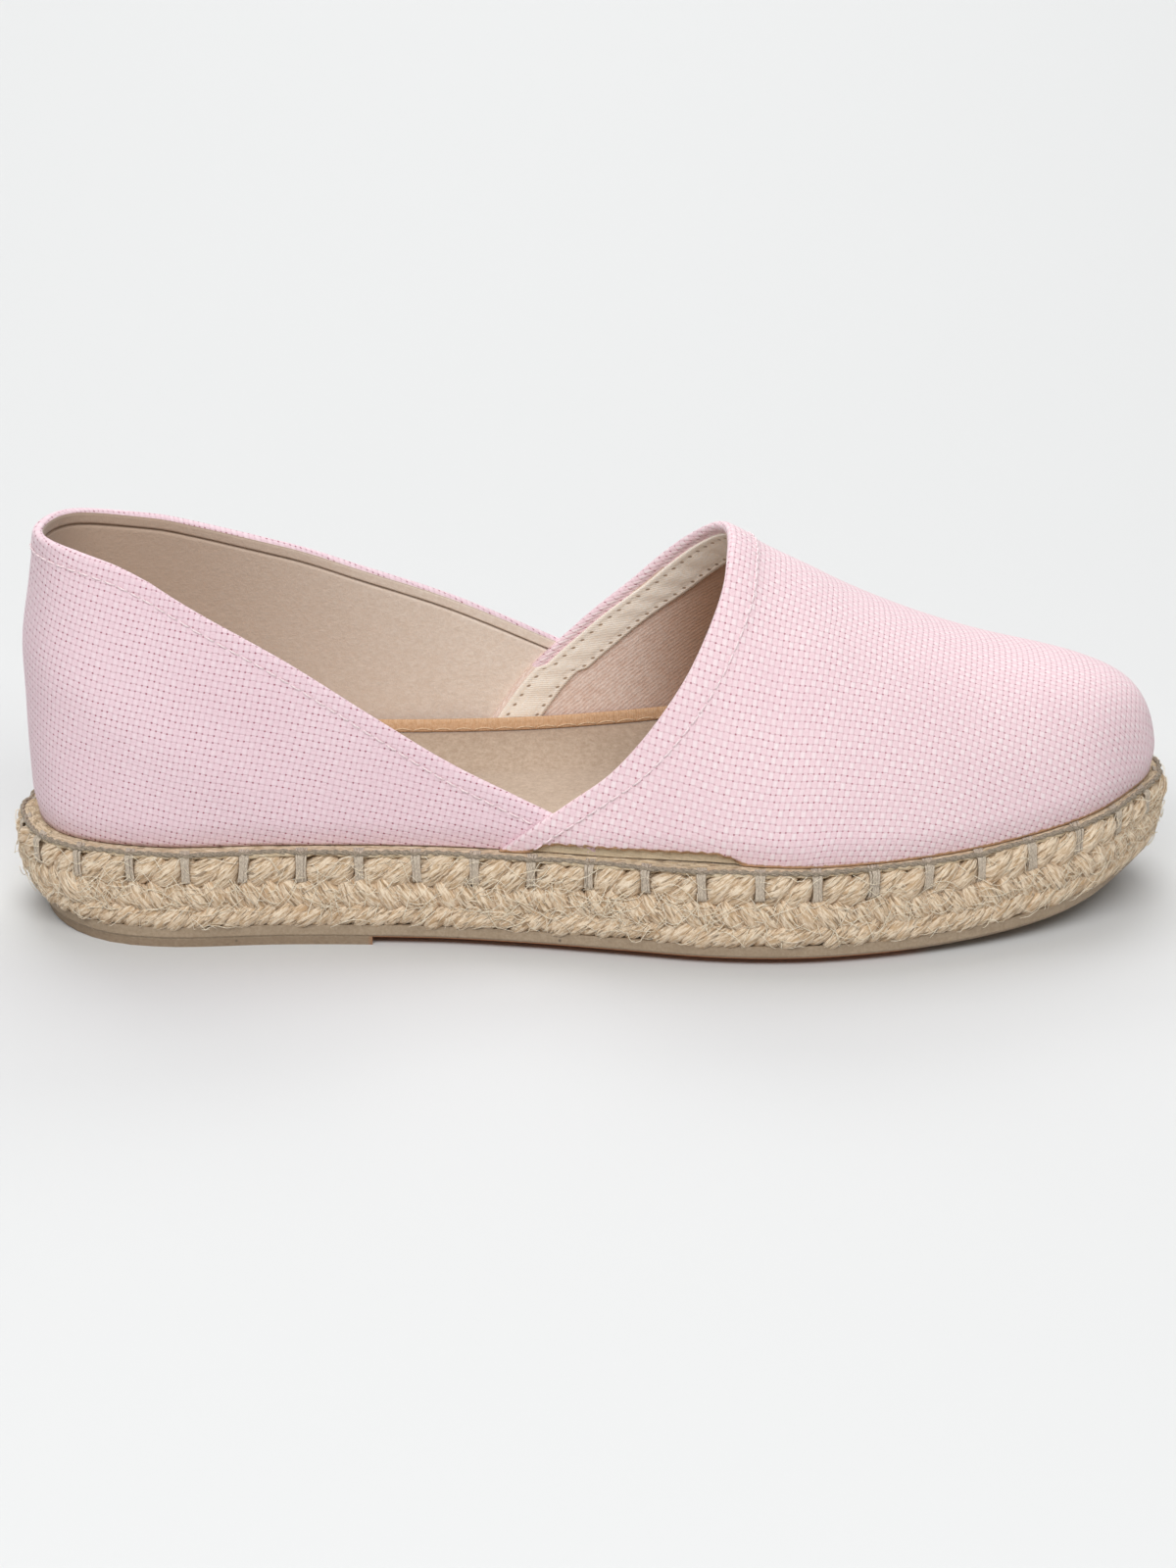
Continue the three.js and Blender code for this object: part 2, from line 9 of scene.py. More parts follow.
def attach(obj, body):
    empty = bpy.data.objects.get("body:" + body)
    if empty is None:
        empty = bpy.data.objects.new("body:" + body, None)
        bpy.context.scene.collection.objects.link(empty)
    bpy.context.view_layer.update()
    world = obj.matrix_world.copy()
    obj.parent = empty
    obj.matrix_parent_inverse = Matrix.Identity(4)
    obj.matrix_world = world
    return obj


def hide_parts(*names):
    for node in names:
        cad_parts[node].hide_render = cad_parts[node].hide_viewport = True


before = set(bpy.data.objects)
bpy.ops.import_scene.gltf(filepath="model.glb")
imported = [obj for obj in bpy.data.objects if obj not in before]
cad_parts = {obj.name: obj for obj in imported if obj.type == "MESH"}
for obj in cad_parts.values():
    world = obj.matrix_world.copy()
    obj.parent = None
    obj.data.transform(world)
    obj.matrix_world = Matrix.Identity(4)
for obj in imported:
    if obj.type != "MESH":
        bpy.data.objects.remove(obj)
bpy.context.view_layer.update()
mm = 0.001
random = np.random.default_rng(37)
fullTurn = 2 * math.pi

# The last and the sole in millimetres, X from the heel, Y to the inner side, as the frame was built.
shoe = {
    "soleLength": 37 * 20 / 3 + 5.3,
    "juteBottom": 5.1,
    "juteTop": 20.6,
    "weltTop": 21.4,
    "upperBase": 21.7,
    "wall": 1.8,
    "heelCollar": 63,
    "spring": 5.6,
    "springStart": 180,
}
sole = {  # how far its ends lift off the floor and tuck in, and from which X they do
    "toeLift": 1.6,
    "toeLiftFrom": 215,
    "heelLift": 0.7,
    "heelLiftTo": 20,
    "toeTuck": 3.4,
    "toeTuckFrom": 222,
    "heelTuck": 4.4,
    "heelTuckTo": 26,
}
upper = {  # how far its foot stands in from the sole's outline, and how square its sections are
    "heelInset": 4.2,
    "toeInset": 2.1,
    "insetChange": (146, 174),
    "acrossPower": (1.9, 2.4),
    "upPower": (1.9, 2.5),
    "powerChange": (150, 235),
    "backLean": (2, 1.4),  # inwards at the collar, outwards half way up
    "flankLean": (5, 1.2),
    "flankChange": (8, 42),
    "domeChange": (55, 135),
}
solePlan = [  # share of the length, outer side, inner side
    (0, 0, 0), (0.032, 20.5, 20.5), (0.123, 30.2, 30.2), (0.238, 30, 29.4), (0.357, 31.8, 28.2),
    (0.44, 35.4, 29), (0.516, 40, 32.4), (0.595, 44.8, 37.4), (0.667, 46, 40.8), (0.734, 43.8, 41.6),
    (0.817, 38.2, 39.5), (0.881, 31.4, 35.8), (0.933, 23.6, 30.2), (0.976, 11.8, 20), (1, -2.6, 2.6),
]
ridge = [  # X, height of the last's top line
    (0, 98), (60, 96), (100, 86), (130, 74), (155.6, 62.8), (164, 57.6), (173, 52.6), (181, 48),
    (190, 43.4), (199, 39.2), (208, 35.4), (216, 32.4), (225, 29.4), (233.5, 26.2), (241.5, 22),
    (246, 17.6), (248.5, 12),
]
quarterTop = {  # X, height of the quarter's top line on each side
    "outer": [(8, 63.6), (20.5, 61.4), (32, 56.5), (47.6, 47.6), (63, 38), (79, 27.3), (94.5, 17.4),
              (106.5, 11.5), (124, 3.5)],
    "inner": [(8, 62), (20.8, 60), (37.8, 57.3), (60.7, 51.6), (78, 45.7), (95.3, 38.9), (112.6, 30.6),
              (130, 20.5), (147, 6)],
}
vampEdge = {  # share of the way round the last, X of the vamp's rear edge
    "outer": [(0, 105.5), (0.05, 112.5), (0.1, 119.7), (0.18, 130), (0.3, 139.5), (0.45, 147.2),
              (0.66, 153.3), (0.86, 155.4), (1, 155.8)],
    "inner": [(0, 99), (0.05, 102.5), (0.1, 106), (0.18, 112.5), (0.3, 124.5), (0.45, 137.8),
              (0.66, 148.8), (0.86, 154.4), (1, 155.8)],
}


def smooth(low, high, x):
    t = np.clip((x - low) / (high - low), 0, 1)
    return t * t * (3 - 2 * t)


def fade(low, high, x):
    return 1 - smooth(low, high, x)


def bump(distance, width):
    return np.exp(-(distance / width) ** 2)


def mix(a, b, share):
    return a + (b - a) * share


def stacked(*parts):
    return np.stack(np.broadcast_arrays(*parts), axis=-1)


def curveThrough(rows):
    t, value = np.array(rows, float).T
    slope = np.empty_like(value)
    slope[1:-1] = (value[2:] - value[:-2]) / (t[2:] - t[:-2])
    slope[0] = (value[1] - value[0]) / (t[1] - t[0])
    slope[-1] = (value[-1] - value[-2]) / (t[-1] - t[-2])

    def curve(at):
        at = np.clip(at, t[0], t[-1])
        i = np.clip(np.searchsorted(t, at, side="right") - 1, 0, len(t) - 2)
        span = t[i + 1] - t[i]
        s = (at - t[i]) / span
        bend = value[i] + (value[i + 1] - value[i]) * s * s * (3 - 2 * s)
        return bend + s * (1 - s) ** 2 * span * slope[i] + s * s * (s - 1) * span * slope[i + 1]

    return curve


def turnAt(x, length=shoe["soleLength"]):
    return np.arccos(np.clip(1 - 2 * np.asarray(x, float) / length, -1, 1))


outerRows = [(turnAt(share * shoe["soleLength"]), -outer) for share, outer, inner in solePlan]
innerRows = [(fullTurn - turnAt(share * shoe["soleLength"]), inner) for share, outer, inner in solePlan]
innerRows = innerRows[::-1][1:]
before = (innerRows[-2][0] - fullTurn, innerRows[-2][1])
after = (outerRows[1][0] + fullTurn, outerRows[1][1])
soleAcross = curveThrough([before, *outerRows, *innerRows, after])


def sideOf(turn):
    return np.where(np.mod(turn, fullTurn) < math.pi, -1, 1)


def soleEdge(turn, inset=0.0):
    # A point of the sole's outline moved in along its normal, and the way out of the shoe there.
    def at(angle):
        angle = np.mod(angle, fullTurn)
        return shoe["soleLength"] * (1 - np.cos(angle)) / 2, soleAcross(angle)

    step = 1e-3
    x, y = at(turn)
    x0, y0 = at(turn - step)
    x1, y1 = at(turn + step)
    run = np.hypot(x1 - x0, y1 - y0)
    outX = (y1 - y0) / run
    outY = -(x1 - x0) / run
    return x - outX * inset, y - outY * inset, outX, outY


loopTurns = np.linspace(0, fullTurn, 4001)
loopX, loopY, _, _ = soleEdge(loopTurns)
loopLength = np.concatenate([[0], np.cumsum(np.hypot(np.diff(loopX), np.diff(loopY)))])
around = loopLength[-1]
middleX = (loopX.min() + loopX.max()) / 2
middleY = (loopY.min() + loopY.max()) / 2


def turnAtLength(length):
    # The outline's angle at a length walked round the sole from the heel.
    return np.interp(np.mod(length, around), loopLength, loopTurns)


def toeSpring(x):
    reach = shoe["soleLength"] - shoe["springStart"]
    return shoe["spring"] * (np.maximum(0, x - shoe["springStart"]) / reach) ** 2


def underLift(x):
    atToe = sole["toeLift"] * smooth(sole["toeLiftFrom"], shoe["soleLength"], x)
    return toeSpring(x) + atToe + sole["heelLift"] * fade(0, sole["heelLiftTo"], x)


def endTuck(x):
    atToe = sole["toeTuck"] * smooth(sole["toeTuckFrom"], shoe["soleLength"], x)
    return sole["heelTuck"] * fade(0, sole["heelTuckTo"], x) + atToe


# The last's surface, from the same functions as the frame's upper
def baseInset(x):
    return mix(upper["heelInset"], upper["toeInset"], smooth(*upper["insetChange"], x))


def baseEdge(turn):
    x = soleEdge(turn)[0]
    return soleEdge(turn, baseInset(x))


halfTurns = np.linspace(0, math.pi, 721)
baseLines = {-1: baseEdge(halfTurns)[:2], 1: baseEdge(fullTurn - halfTurns)[:2]}
upperTip = float(baseEdge(np.array([math.pi]))[0][0])


def baseAcross(x, side):
    if np.ndim(side) == 0:
        return np.interp(x, *baseLines[int(side)])
    return np.where(side < 0, np.interp(x, *baseLines[-1]), np.interp(x, *baseLines[1]))


def spineAcross(x):
    return (baseAcross(x, -1) + baseAcross(x, 1)) / 2 * smooth(60, 150, x)


def halfWidth(x, side):
    return side * (baseAcross(x, side) - spineAcross(x))


ridgeCurve = curveThrough([(turnAt(x, upperTip), height) for x, height in ridge] + [(math.pi, 0)])


def ridgeHeight(x):
    return ridgeCurve(turnAt(x, upperTip))


def sectionPower(way, x):
    return mix(*upper[way], smooth(*upper["powerChange"], x))


def wallInset(x, height, side):
    height = np.maximum(height, 0)
    share = np.clip(height / np.maximum(ridgeHeight(x), 1e-6), 0, 1)
    rounded = (1 - share ** sectionPower("upPower", x)) ** (1 / sectionPower("acrossPower", x))
    collarShare = height / shoe["heelCollar"]
    belly = np.sin(math.pi * np.minimum(1, collarShare))
    back, flank = (
        lean * collarShare**2 - swell * belly for lean, swell in (upper["backLean"], upper["flankLean"])
    )
    heel = mix(back, flank, smooth(*upper["flankChange"], x))
    return mix(heel, halfWidth(x, side) * (1 - rounded), smooth(*upper["domeChange"], x))


def overSole(x, y, height):
    # Points at a height over the upper's foot.
    z = shoe["upperBase"] + toeSpring(x) + height
    return stacked(x, y, z)


def lastPoint(x, round, side):
    height = ridgeHeight(x) * np.sin(round * math.pi / 2) ** (2 / sectionPower("upPower", x))
    reach = side * (halfWidth(x, side) - wallInset(x, height, side))
    return overSole(x, spineAcross(x) + reach, height)


def quarterPoint(turn, height):
    turn = np.mod(turn, fullTurn)
    x = soleEdge(turn)[0]
    atX, atY, _, _ = soleEdge(turn, baseInset(x) + wallInset(x, height, sideOf(turn)))
    return overSole(atX, atY, height)


# Mesh helpers
def toMetres(points):
    points = np.asarray(points, float)
    return (points - np.array([middleX, middleY, 0])) * mm


def makePiece(name, points, faces, maps=None, materials=(), slots=None):
    # A mesh from points in millimetres; maps hold a U, V pair for each point.
    mesh = bpy.data.meshes.new(name)
    mesh.from_pydata(toMetres(points).tolist(), [], faces)
    corners = np.empty(len(mesh.loops), int)
    mesh.loops.foreach_get("vertex_index", corners)
    for mapName, values in (maps or {}).items():
        layer = mesh.uv_layers.new(name=mapName)
        layer.data.foreach_set("uv", np.asarray(values, float).reshape(-1, 2)[corners].ravel())
    for material in materials:
        mesh.materials.append(material)
    if slots is not None:
        mesh.polygons.foreach_set("material_index", np.asarray(slots, int))
    mesh.polygons.foreach_set("use_smooth", np.ones(len(mesh.polygons), bool))
    piece = bpy.data.objects.new(name, mesh)
    bpy.context.scene.collection.objects.link(piece)
    bpy.ops.object.select_all(action="DESELECT")
    piece.select_set(True)
    bpy.context.view_layer.objects.active = piece
    bpy.ops.object.mode_set(mode="EDIT")
    bpy.ops.mesh.select_all(action="SELECT")
    bpy.ops.mesh.normals_make_consistent(inside=False)
    bpy.ops.object.mode_set(mode="OBJECT")
    return piece


def finishPiece(piece, slot, *nodes):
    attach(piece, "root")
    if nodes:
        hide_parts(*nodes)
    print(f"  {piece.name}: {sum(len(p.vertices) - 2 for p in piece.data.polygons)} triangles")


def gridFaces(rows, columns, closedRows=False, closedColumns=False, start=0):
    i = np.arange(rows if closedRows else rows - 1)
    j = np.arange(columns if closedColumns else columns - 1)
    i, j = np.meshgrid(i, j, indexing="ij")
    i1 = (i + 1) % rows
    j1 = (j + 1) % columns
    quads = stacked(i * columns + j, i1 * columns + j, i1 * columns + j1, i * columns + j1)
    return (quads.reshape(-1, 4) + start).tolist()


def gridNormals(points):
    along = np.gradient(points, axis=0)
    across = np.gradient(points, axis=1)
    normal = np.cross(along, across)
    return normal / np.maximum(np.linalg.norm(normal, axis=-1, keepdims=True), 1e-9)


def lengthsDown(points):
    # Length walked down each column from row 0.
    steps = np.linalg.norm(np.diff(points, axis=0), axis=-1)
    return np.vstack([np.zeros((1, points.shape[1])), np.cumsum(steps, axis=0)])


def walkedAlong(line):
    return lengthsDown(line[:, None])[:, 0]


def lineAt(points, lengths, distance):
    # The line at a distance from row 0, one point for each column.
    distance = np.broadcast_to(distance, points.shape[1])
    columns = []
    for c in range(points.shape[1]):
        columns.append([np.interp(distance[c], lengths[:, c], points[:, c, k]) for k in range(3)])
    return np.array(columns)


def unit(vectors):
    return vectors / np.maximum(np.linalg.norm(vectors, axis=-1, keepdims=True), 1e-9)


clothOverlap = 0.6  # how far a wall's outer map runs on past its turned-in edge
farOff = 9  # stands on a wall's edge map for anywhere clear of a raw edge


def makeWall(name, outer, inner, maps, materials, turnedIn, rimSteps=6):
    # A wall with a rounded rim. Row 0 of both grids is the rim; the far rows and the sides are closed.
    rows, columns, _ = outer.shape
    away = unit(outer[0] - outer[1])
    half = (outer[0] - inner[0]) / 2
    centre = (outer[0] + inner[0]) / 2
    thick = np.linalg.norm(half, axis=-1, keepdims=True)
    rim = []
    for k in range(1, rimSteps):
        angle = math.pi * k / rimSteps
        rim.append(centre + half * math.cos(angle) + away * thick * math.sin(angle))
    points = np.concatenate([outer[::-1], np.array(rim), inner])
    total = len(points)
    faces = gridFaces(total, columns, closedRows=True)
    innerStart = rows + rimSteps - 1
    walked = lengthsDown(inner)
    arc = thick[:, 0] * math.pi
    onRim = arc * (np.arange(1, rimSteps) / rimSteps)[:, None]
    past = np.concatenate([np.full((rows, columns), -1), onRim, arc + walked])
    turnedIn = np.broadcast_to(turnedIn, columns)
    slots = (past > turnedIn).astype(int)[:, :-1]
    slots[-1] = 0
    slots = slots.ravel().tolist()
    for column in (0, columns - 1):
        closing = [
            (rows - 1 - i, rows - 2 - i, innerStart + i + 1, innerStart + i) for i in range(rows - 1)
        ]
        closing.append(range(rows - 1, innerStart + 1))
        faces += [[row * columns + column for row in ring] for ring in closing]
        slots += [0] * len(closing)
    filled = {}
    for mapName, (onOuter, onInner) in maps.items():
        # The cloth runs on over the rim and a little way down inside.
        slope = (onOuter[0] - onOuter[3]) / np.maximum(lengthsDown(outer)[3][:, None], 1e-6)
        over = [onOuter[0] + slope * thick * math.pi * k / rimSteps for k in range(1, rimSteps)]
        onward = onOuter[0] + slope * (arc + walked)[..., None]
        canvasSide = arc + walked < turnedIn + clothOverlap
        onInner = np.where(canvasSide[..., None], onward, onInner)
        filled[mapName] = np.concatenate([onOuter[::-1], np.array(over), onInner])
    return makePiece(name, points.reshape(-1, 3), faces, filled, materials, slots)


def makeTubes(name, node, material, paths, radii, facing, sides, flat=1.0, groove=None, press=None,
              replaced=()):
    # Many closed strands at once. paths: strand, step, point; facing: the way their flat side looks.
    count, steps, _ = paths.shape
    radii = np.broadcast_to(radii, (count, steps))
    ahead = unit(np.gradient(paths, axis=1))
    sideways = unit(np.cross(ahead, facing))
    front = np.cross(sideways, ahead)
    # The map's seam runs along the back.
    angle = math.pi + np.arange(sides) / sides * fullTurn
    radius = np.broadcast_to(radii[..., None], (count, steps, sides)).copy()
    if groove is not None:
        radius = radius * groove(angle[None, None, :], np.linspace(0, 1, steps)[None, :, None])
    ring = np.cos(angle)[None, None, :, None] * front[:, :, None] * flat
    ring = ring + np.sin(angle)[None, None, :, None] * sideways[:, :, None]
    points = paths[:, :, None] + ring * radius[..., None]
    if press is not None:
        points = press(points)
    lengths = lengthsDown(paths.swapaxes(0, 1)).T
    u = np.broadcast_to(lengths[:, :, None], radius.shape) + random.uniform(0, 400, (count, 1, 1))
    v = np.broadcast_to(angle[None, None, :] * radii.mean(axis=1)[:, None, None], radius.shape)
    one = np.array(gridFaces(steps, sides, closedColumns=True))
    faces = (one[None] + (np.arange(count) * steps * sides)[:, None, None]).reshape(-1, 4).tolist()
    for n in range(count):
        start = n * steps * sides
        faces.append(list(range(start, start + sides)))
        faces.append(list(range(start + (steps - 1) * sides, start + steps * sides)))
    maps = {"strandMap": stacked(u, v)}
    finishPiece(makePiece(name, points.reshape(-1, 3), faces, maps, [material]), node, *replaced)


def stitchesAlong(line, normals, pitch, length, lift, first=0.5, steps=5):
    # Paths of single stitches laid end to end on a line; each dips into the cloth at both ends.
    walked = walkedAlong(line)
    starts = np.arange(first * pitch, walked[-1] - length, pitch)
    at = starts[:, None] + np.linspace(0, length, steps)[None]
    spots = stacked(*(np.interp(at, walked, line[:, k]) for k in range(3)))
    out = unit(stacked(*(np.interp(at, walked, normals[:, k]) for k in range(3))))
    rise = lift * (np.sin(np.linspace(0.08, 0.92, steps) * math.pi) - 0.35)
    return spots + out * rise[None, :, None], out


def makeBand(name, rings, flat, mapName, material, node):
    # A closed band round the shoe: rings holds a line of points for each point of its section.
    rings = np.array(rings)
    faces = gridFaces(*rings.shape[:2], closedRows=True, closedColumns=True)
    piece = makePiece(name, rings.reshape(-1, 3), faces, {mapName: np.array(flat)}, [material])
    finishPiece(piece, node, node)


# Materials. Scales count cells a millimetre on a piece's own map and cells a metre on Object coordinates.
modeOf = {
    "Math": "operation",
    "VectorMath": "operation",
    "MapRange": "interpolation_type",
    "Mix": "data_type",
    "TexWhiteNoise": "noise_dimensions",
    "TexWave": "bands_direction",
}


def put(tree, kind, *values, out=0, **settings):
    # One node: a word after its kind is its mode, values fill its sockets in order, a dictionary by name.
    kind, _, mode = kind.partition(" ")
    node = tree.nodes.new("ShaderNode" + kind)
    if mode:
        settings[modeOf[kind]] = mode
    for name, value in settings.items():
        setattr(node, name, value)
    sockets = values[0] if values and isinstance(values[0], dict) else dict(enumerate(values))
    for name, value in sockets.items():
        if isinstance(value, bpy.types.NodeSocket):
            tree.links.new(value, node.inputs[name])
        else:
            node.inputs[name].default_value = value
    return node.outputs[out]


def colour(hexValue):
    # An sRGB hex value as linear light.
    parts = [int(hexValue[i:i + 2], 16) / 255 for i in (1, 3, 5)]
    return tuple(p / 12.92 if p <= 0.04045 else ((p + 0.055) / 1.055) ** 2.4 for p in parts) + (1.0,)


def tinted(add, base, *layers):
    # Colours laid over a base one after the other, each by its own share.
    tone = colour(base)
    for share, over in layers:
        tone = add("Mix RGBA", {0: share, 6: tone, 7: colour(over)}, out=2)
    return tone


def startMaterial(name, roughness, ior=1.5, sheen=0.0, specular=0.5):
    material = bpy.data.materials.new(name)
    material.use_nodes = True
    shader = material.node_tree.nodes["Principled BSDF"]
    looks = {"Roughness": roughness, "IOR": ior, "Sheen Weight": sheen, "Sheen Roughness": 0.5,
             "Specular IOR Level": specular}
    for socket, value in looks.items():
        shader.inputs[socket].default_value = value
    return material, partial(put, material.node_tree)


def finishMaterial(material, tone, height, strength, depth):
    # The relief's depth is in metres.
    tree = material.node_tree
    shader = tree.nodes["Principled BSDF"]
    tree.links.new(tone, shader.inputs["Base Color"])
    normal = put(tree, "Bump", {"Height": height, "Strength": strength, "Distance": depth})
    tree.links.new(normal, shader.inputs["Normal"])
    return material


# Basket-weave canvas of matt cotton, piece-dyed pink. Pairs of yarns along the shoe cross single pale
# yarns that run up it: the eye sees short pale floats, with a dark pinhole at each corner.
canvasLooks = {
    "vamp": {"pale": "#f9edee", "pink": "#f1d4da", "pinhole": "#ad6474", "holes": 0.85, "floats": 0.6},
    "quarter": {"pale": "#f4e2e7", "pink": "#ecd0d8", "pinhole": "#9c5061", "holes": 0.95, "floats": 0.45},
    "acrossPitch": 1.3,  # millimetres from one upright yarn to the next
    "upPitch": 1.5,  # millimetres from one pair of lengthwise yarns to the next
    "wander": 0.9,  # millimetres that the yarns stray from straight
    "shade": "#dfb9c5",
    "rawEdge": "#b98f61",
    "underLayer": "#d3c3a8",
}


def makeCanvas(name, look):
    material, add = startMaterial(name, 0.88, sheen=0.2, specular=0.25)
    cloth = add("UVMap", uv_map="clothMap")
    along, up = add("SeparateXYZ", cloth, out=slice(0, 2))
    drift = add("TexNoise", {"Vector": cloth, "Scale": 0.09, "Detail": 2.0})
    drift = add("Math MULTIPLY_ADD", drift, canvasLooks["wander"], -canvasLooks["wander"] / 2)
    x = add("Math DIVIDE", add("Math ADD", along, drift), canvasLooks["acrossPitch"])
    y = add("Math DIVIDE", add("Math SUBTRACT", up, drift), canvasLooks["upPitch"])
    column = add("Math FLOOR", x)
    row = add("Math FLOOR", y)
    offX = add("Math ABSOLUTE", add("Math SUBTRACT", add("Math FRACT", x), 0.5))
    offY = add("Math ABSOLUTE", add("Math SUBTRACT", add("Math FRACT", y), 0.5))
    pairOnTop = add("Math FLOORED_MODULO", add("Math ADD", column, row), 2.0)
    # An upright float is round across and long; a lengthwise pair is two round yarns side by side.
    rounded = add("MapRange SMOOTHSTEP", offX, 0.5, 0.22)
    ends = add("MapRange SMOOTHSTEP", offY, 0.54, 0.38)
    floatTop = add("Math MULTIPLY", rounded, ends)
    inPair = add("Math MULTIPLY", add("Math SUBTRACT", offY, 0.25), 4.0)
    inPair = add("Math MULTIPLY", add("Math MULTIPLY", inPair, inPair), 0.5)
    ends = add("MapRange SMOOTHSTEP", offX, 0.6, 0.25, 0.15, 0.8)
    pairTop = add("Math MULTIPLY", add("Math SUBTRACT", 1.0, inPair), ends)
    height = add("Mix FLOAT", {0: pairOnTop, 2: floatTop, 3: pairTop})
    # Pinholes are wider than tall; a thin painted shadow lies where a float dips under the next yarn.
    besideCorner = add("Math SUBTRACT", 0.5, offX)
    aboveCorner = add("Math SUBTRACT", 0.7, add("Math MULTIPLY", offY, 1.4))
    toCorner = add("CombineXYZ", besideCorner, aboveCorner)
    toCorner = add("VectorMath LENGTH", toCorner, out="Value")
    pinhole = add("MapRange SMOOTHSTEP", toCorner, 0.25, 0.1)
    betweenPairs = add("MapRange SMOOTHSTEP", offY, 0.32, 0.47, 0.0, 0.2)
    betweenFloats = add("MapRange SMOOTHSTEP", offX, 0.36, 0.48, 0.0, 0.16)
    paintedDipShadow = add("Mix FLOAT", {0: pairOnTop, 2: betweenPairs, 3: betweenFloats})
    # No two pinholes are open equally far, and each float takes the dye a little differently.
    nearest = add("CombineXYZ", add("Math ROUND", x), add("Math ROUND", y))
    gape = add("Math MULTIPLY_ADD", add("TexWhiteNoise 2D", {"Vector": nearest}), 0.75, 0.35)
    pinhole = add("Math MULTIPLY", pinhole, gape)
    cell = add("CombineXYZ", column, row)
    luck = add("Math MULTIPLY_ADD", add("TexWhiteNoise 2D", {"Vector": cell}), 0.6, 0.5)
    paleness = add("Math MULTIPLY", add("Math SUBTRACT", 1.0, pairOnTop), floatTop)
    paleness = add("Math MULTIPLY", add("Math MULTIPLY", paleness, luck), look["floats"])
    # the pinholes and the painted shadow lines share the pinhole colour
    holes = add("Math MAXIMUM", add("Math MULTIPLY", pinhole, look["holes"]), paintedDipShadow)
    patch = add("TexNoise", {"Vector": cloth, "Scale": 0.035, "Detail": 3.0})
    patch = add("MapRange SMOOTHSTEP", patch, 0.35, 0.7, 0.0, 0.14)
    # The raw edge at the foot of the vamp is brown with glue, and a paler layer shows below it.
    aboveEdge = add("SeparateXYZ", add("UVMap", uv_map="edgeMap"), out=1)
    ragged = add("TexNoise", {"Vector": cloth, "Scale": 0.9, "Detail": 3.0})
    glue = add("Math MULTIPLY_ADD", ragged, 0.9, aboveEdge)
    glue = add("MapRange SMOOTHSTEP", glue, 1.15, 0.8, 0.0, 0.9)
    layer = add("MapRange SMOOTHSTEP", aboveEdge, -0.3, -0.5)
    tone = tinted(add, look["pink"], (paleness, look["pale"]), (holes, look["pinhole"]),
                  (patch, canvasLooks["shade"]), (glue, canvasLooks["rawEdge"]),
                  (layer, canvasLooks["underLayer"]))
    lint = add("TexNoise", {"Vector": cloth, "Scale": 4.0, "Detail": 4.0, "Roughness": 0.7})
    hollow = add("Math MULTIPLY_ADD", pinhole, -0.5, height)
    relief = add("Math MULTIPLY_ADD", lint, 0.3, hollow)
    return finishMaterial(material, tone, relief, 0.45, 0.25 * mm)


# Microfibre suede: a nap 0.6 to 1.2 mm wide with no gloss, paler where it is brushed one way, with
# a seam inside its rim drawn as a painted shadow line and, where it is the lining, painted shade darker at
# the heel.
def makeSuede(name, pale, dark, seamAt=None, paintedHeelShade=None):
    material, add = startMaterial(name, 0.95, sheen=0.3, specular=0.15)
    place = add("TexCoord", out="Object")
    grain = add("TexNoise", {"Vector": place, "Scale": 1700.0, "Detail": 4.0, "Roughness": 0.75})
    nap = add("TexNoise", {"Vector": place, "Scale": 800.0, "Detail": 3.0, "Roughness": 0.6})
    patch = add("TexNoise", {"Vector": place, "Scale": 38.0, "Detail": 3.0})
    patch = add("MapRange SMOOTHSTEP", patch, 0.35, 0.7, 0.0, 0.05)
    mixed = add("Math MULTIPLY_ADD", nap, 0.5, add("Math MULTIPLY", grain, 0.5))
    mixed = add("MapRange SMOOTHSTEP", mixed, 0.3, 0.72)
    layers = [(mixed, pale), (patch, dark)]
    if paintedHeelShade:
        # painted shade: the lining darkens towards the heel along the shoe's X
        alongShoe = add("SeparateXYZ", place)
        layers.append((add("MapRange SMOOTHSTEP", alongShoe, 12 * mm, -115 * mm, 0.0, 0.88), paintedHeelShade))
    if seamAt:
        # painted shadow: a dark line along the seam's fold inside the rim
        fromRim = add("SeparateXYZ", add("UVMap", uv_map="edgeMap"))
        fold = add("Math ABSOLUTE", add("Math ADD", fromRim, seamAt))
        layers.append((add("MapRange SMOOTHSTEP", fold, 0.4, 0.1, 0.0, 0.55), "#7b6452"))
    return finishMaterial(material, tinted(add, dark, *layers), mixed, 0.35, 0.3 * mm)


# Brushed cotton twill behind the vamp: pinkish beige, pebbled by its short slanting floats and, further
# in, browner and darker by painted shade.
def makeTwill():
    material, add = startMaterial("brushedCottonTwill", 0.92, sheen=0.2, specular=0.2)
    cloth = add("UVMap", uv_map="clothMap")
    ribs = add("TexWave DIAGONAL", {"Vector": cloth, "Scale": 0.55, "Distortion": 2.5, "Detail": 1.0})
    crossing = add("TexVoronoi", {"Vector": cloth, "Scale": 0.8})
    lint = add("TexNoise", {"Vector": cloth, "Scale": 1.6, "Detail": 4.0, "Roughness": 0.7})
    relief = add("Math MULTIPLY_ADD", ribs, 0.3, lint)
    relief = add("Math MULTIPLY_ADD", crossing, -0.4, relief)
    shade = add("MapRange SMOOTHSTEP", relief, -0.1, 0.9)
    alongShoe = add("SeparateXYZ", add("TexCoord", out="Object"))
    # painted shade: browner and darker deeper inside the vamp, towards the toe
    paintedShadeDeeperIn = add("MapRange SMOOTHSTEP", alongShoe, 6 * mm, 28 * mm, 0.0, 0.85)
    tone = tinted(add, "#dcbcab", (shade, "#fae9df"), (paintedShadeDeeperIn, "#b08567"))
    return finishMaterial(material, tone, relief, 0.45, 0.3 * mm)


# Cotton tape: tight and smooth, with fine ribs across it and brown needle holes along its edges.
tapeLook = {"ribPitch": 0.55, "holePitch": 2.7, "hole": "#9a7a5c"}


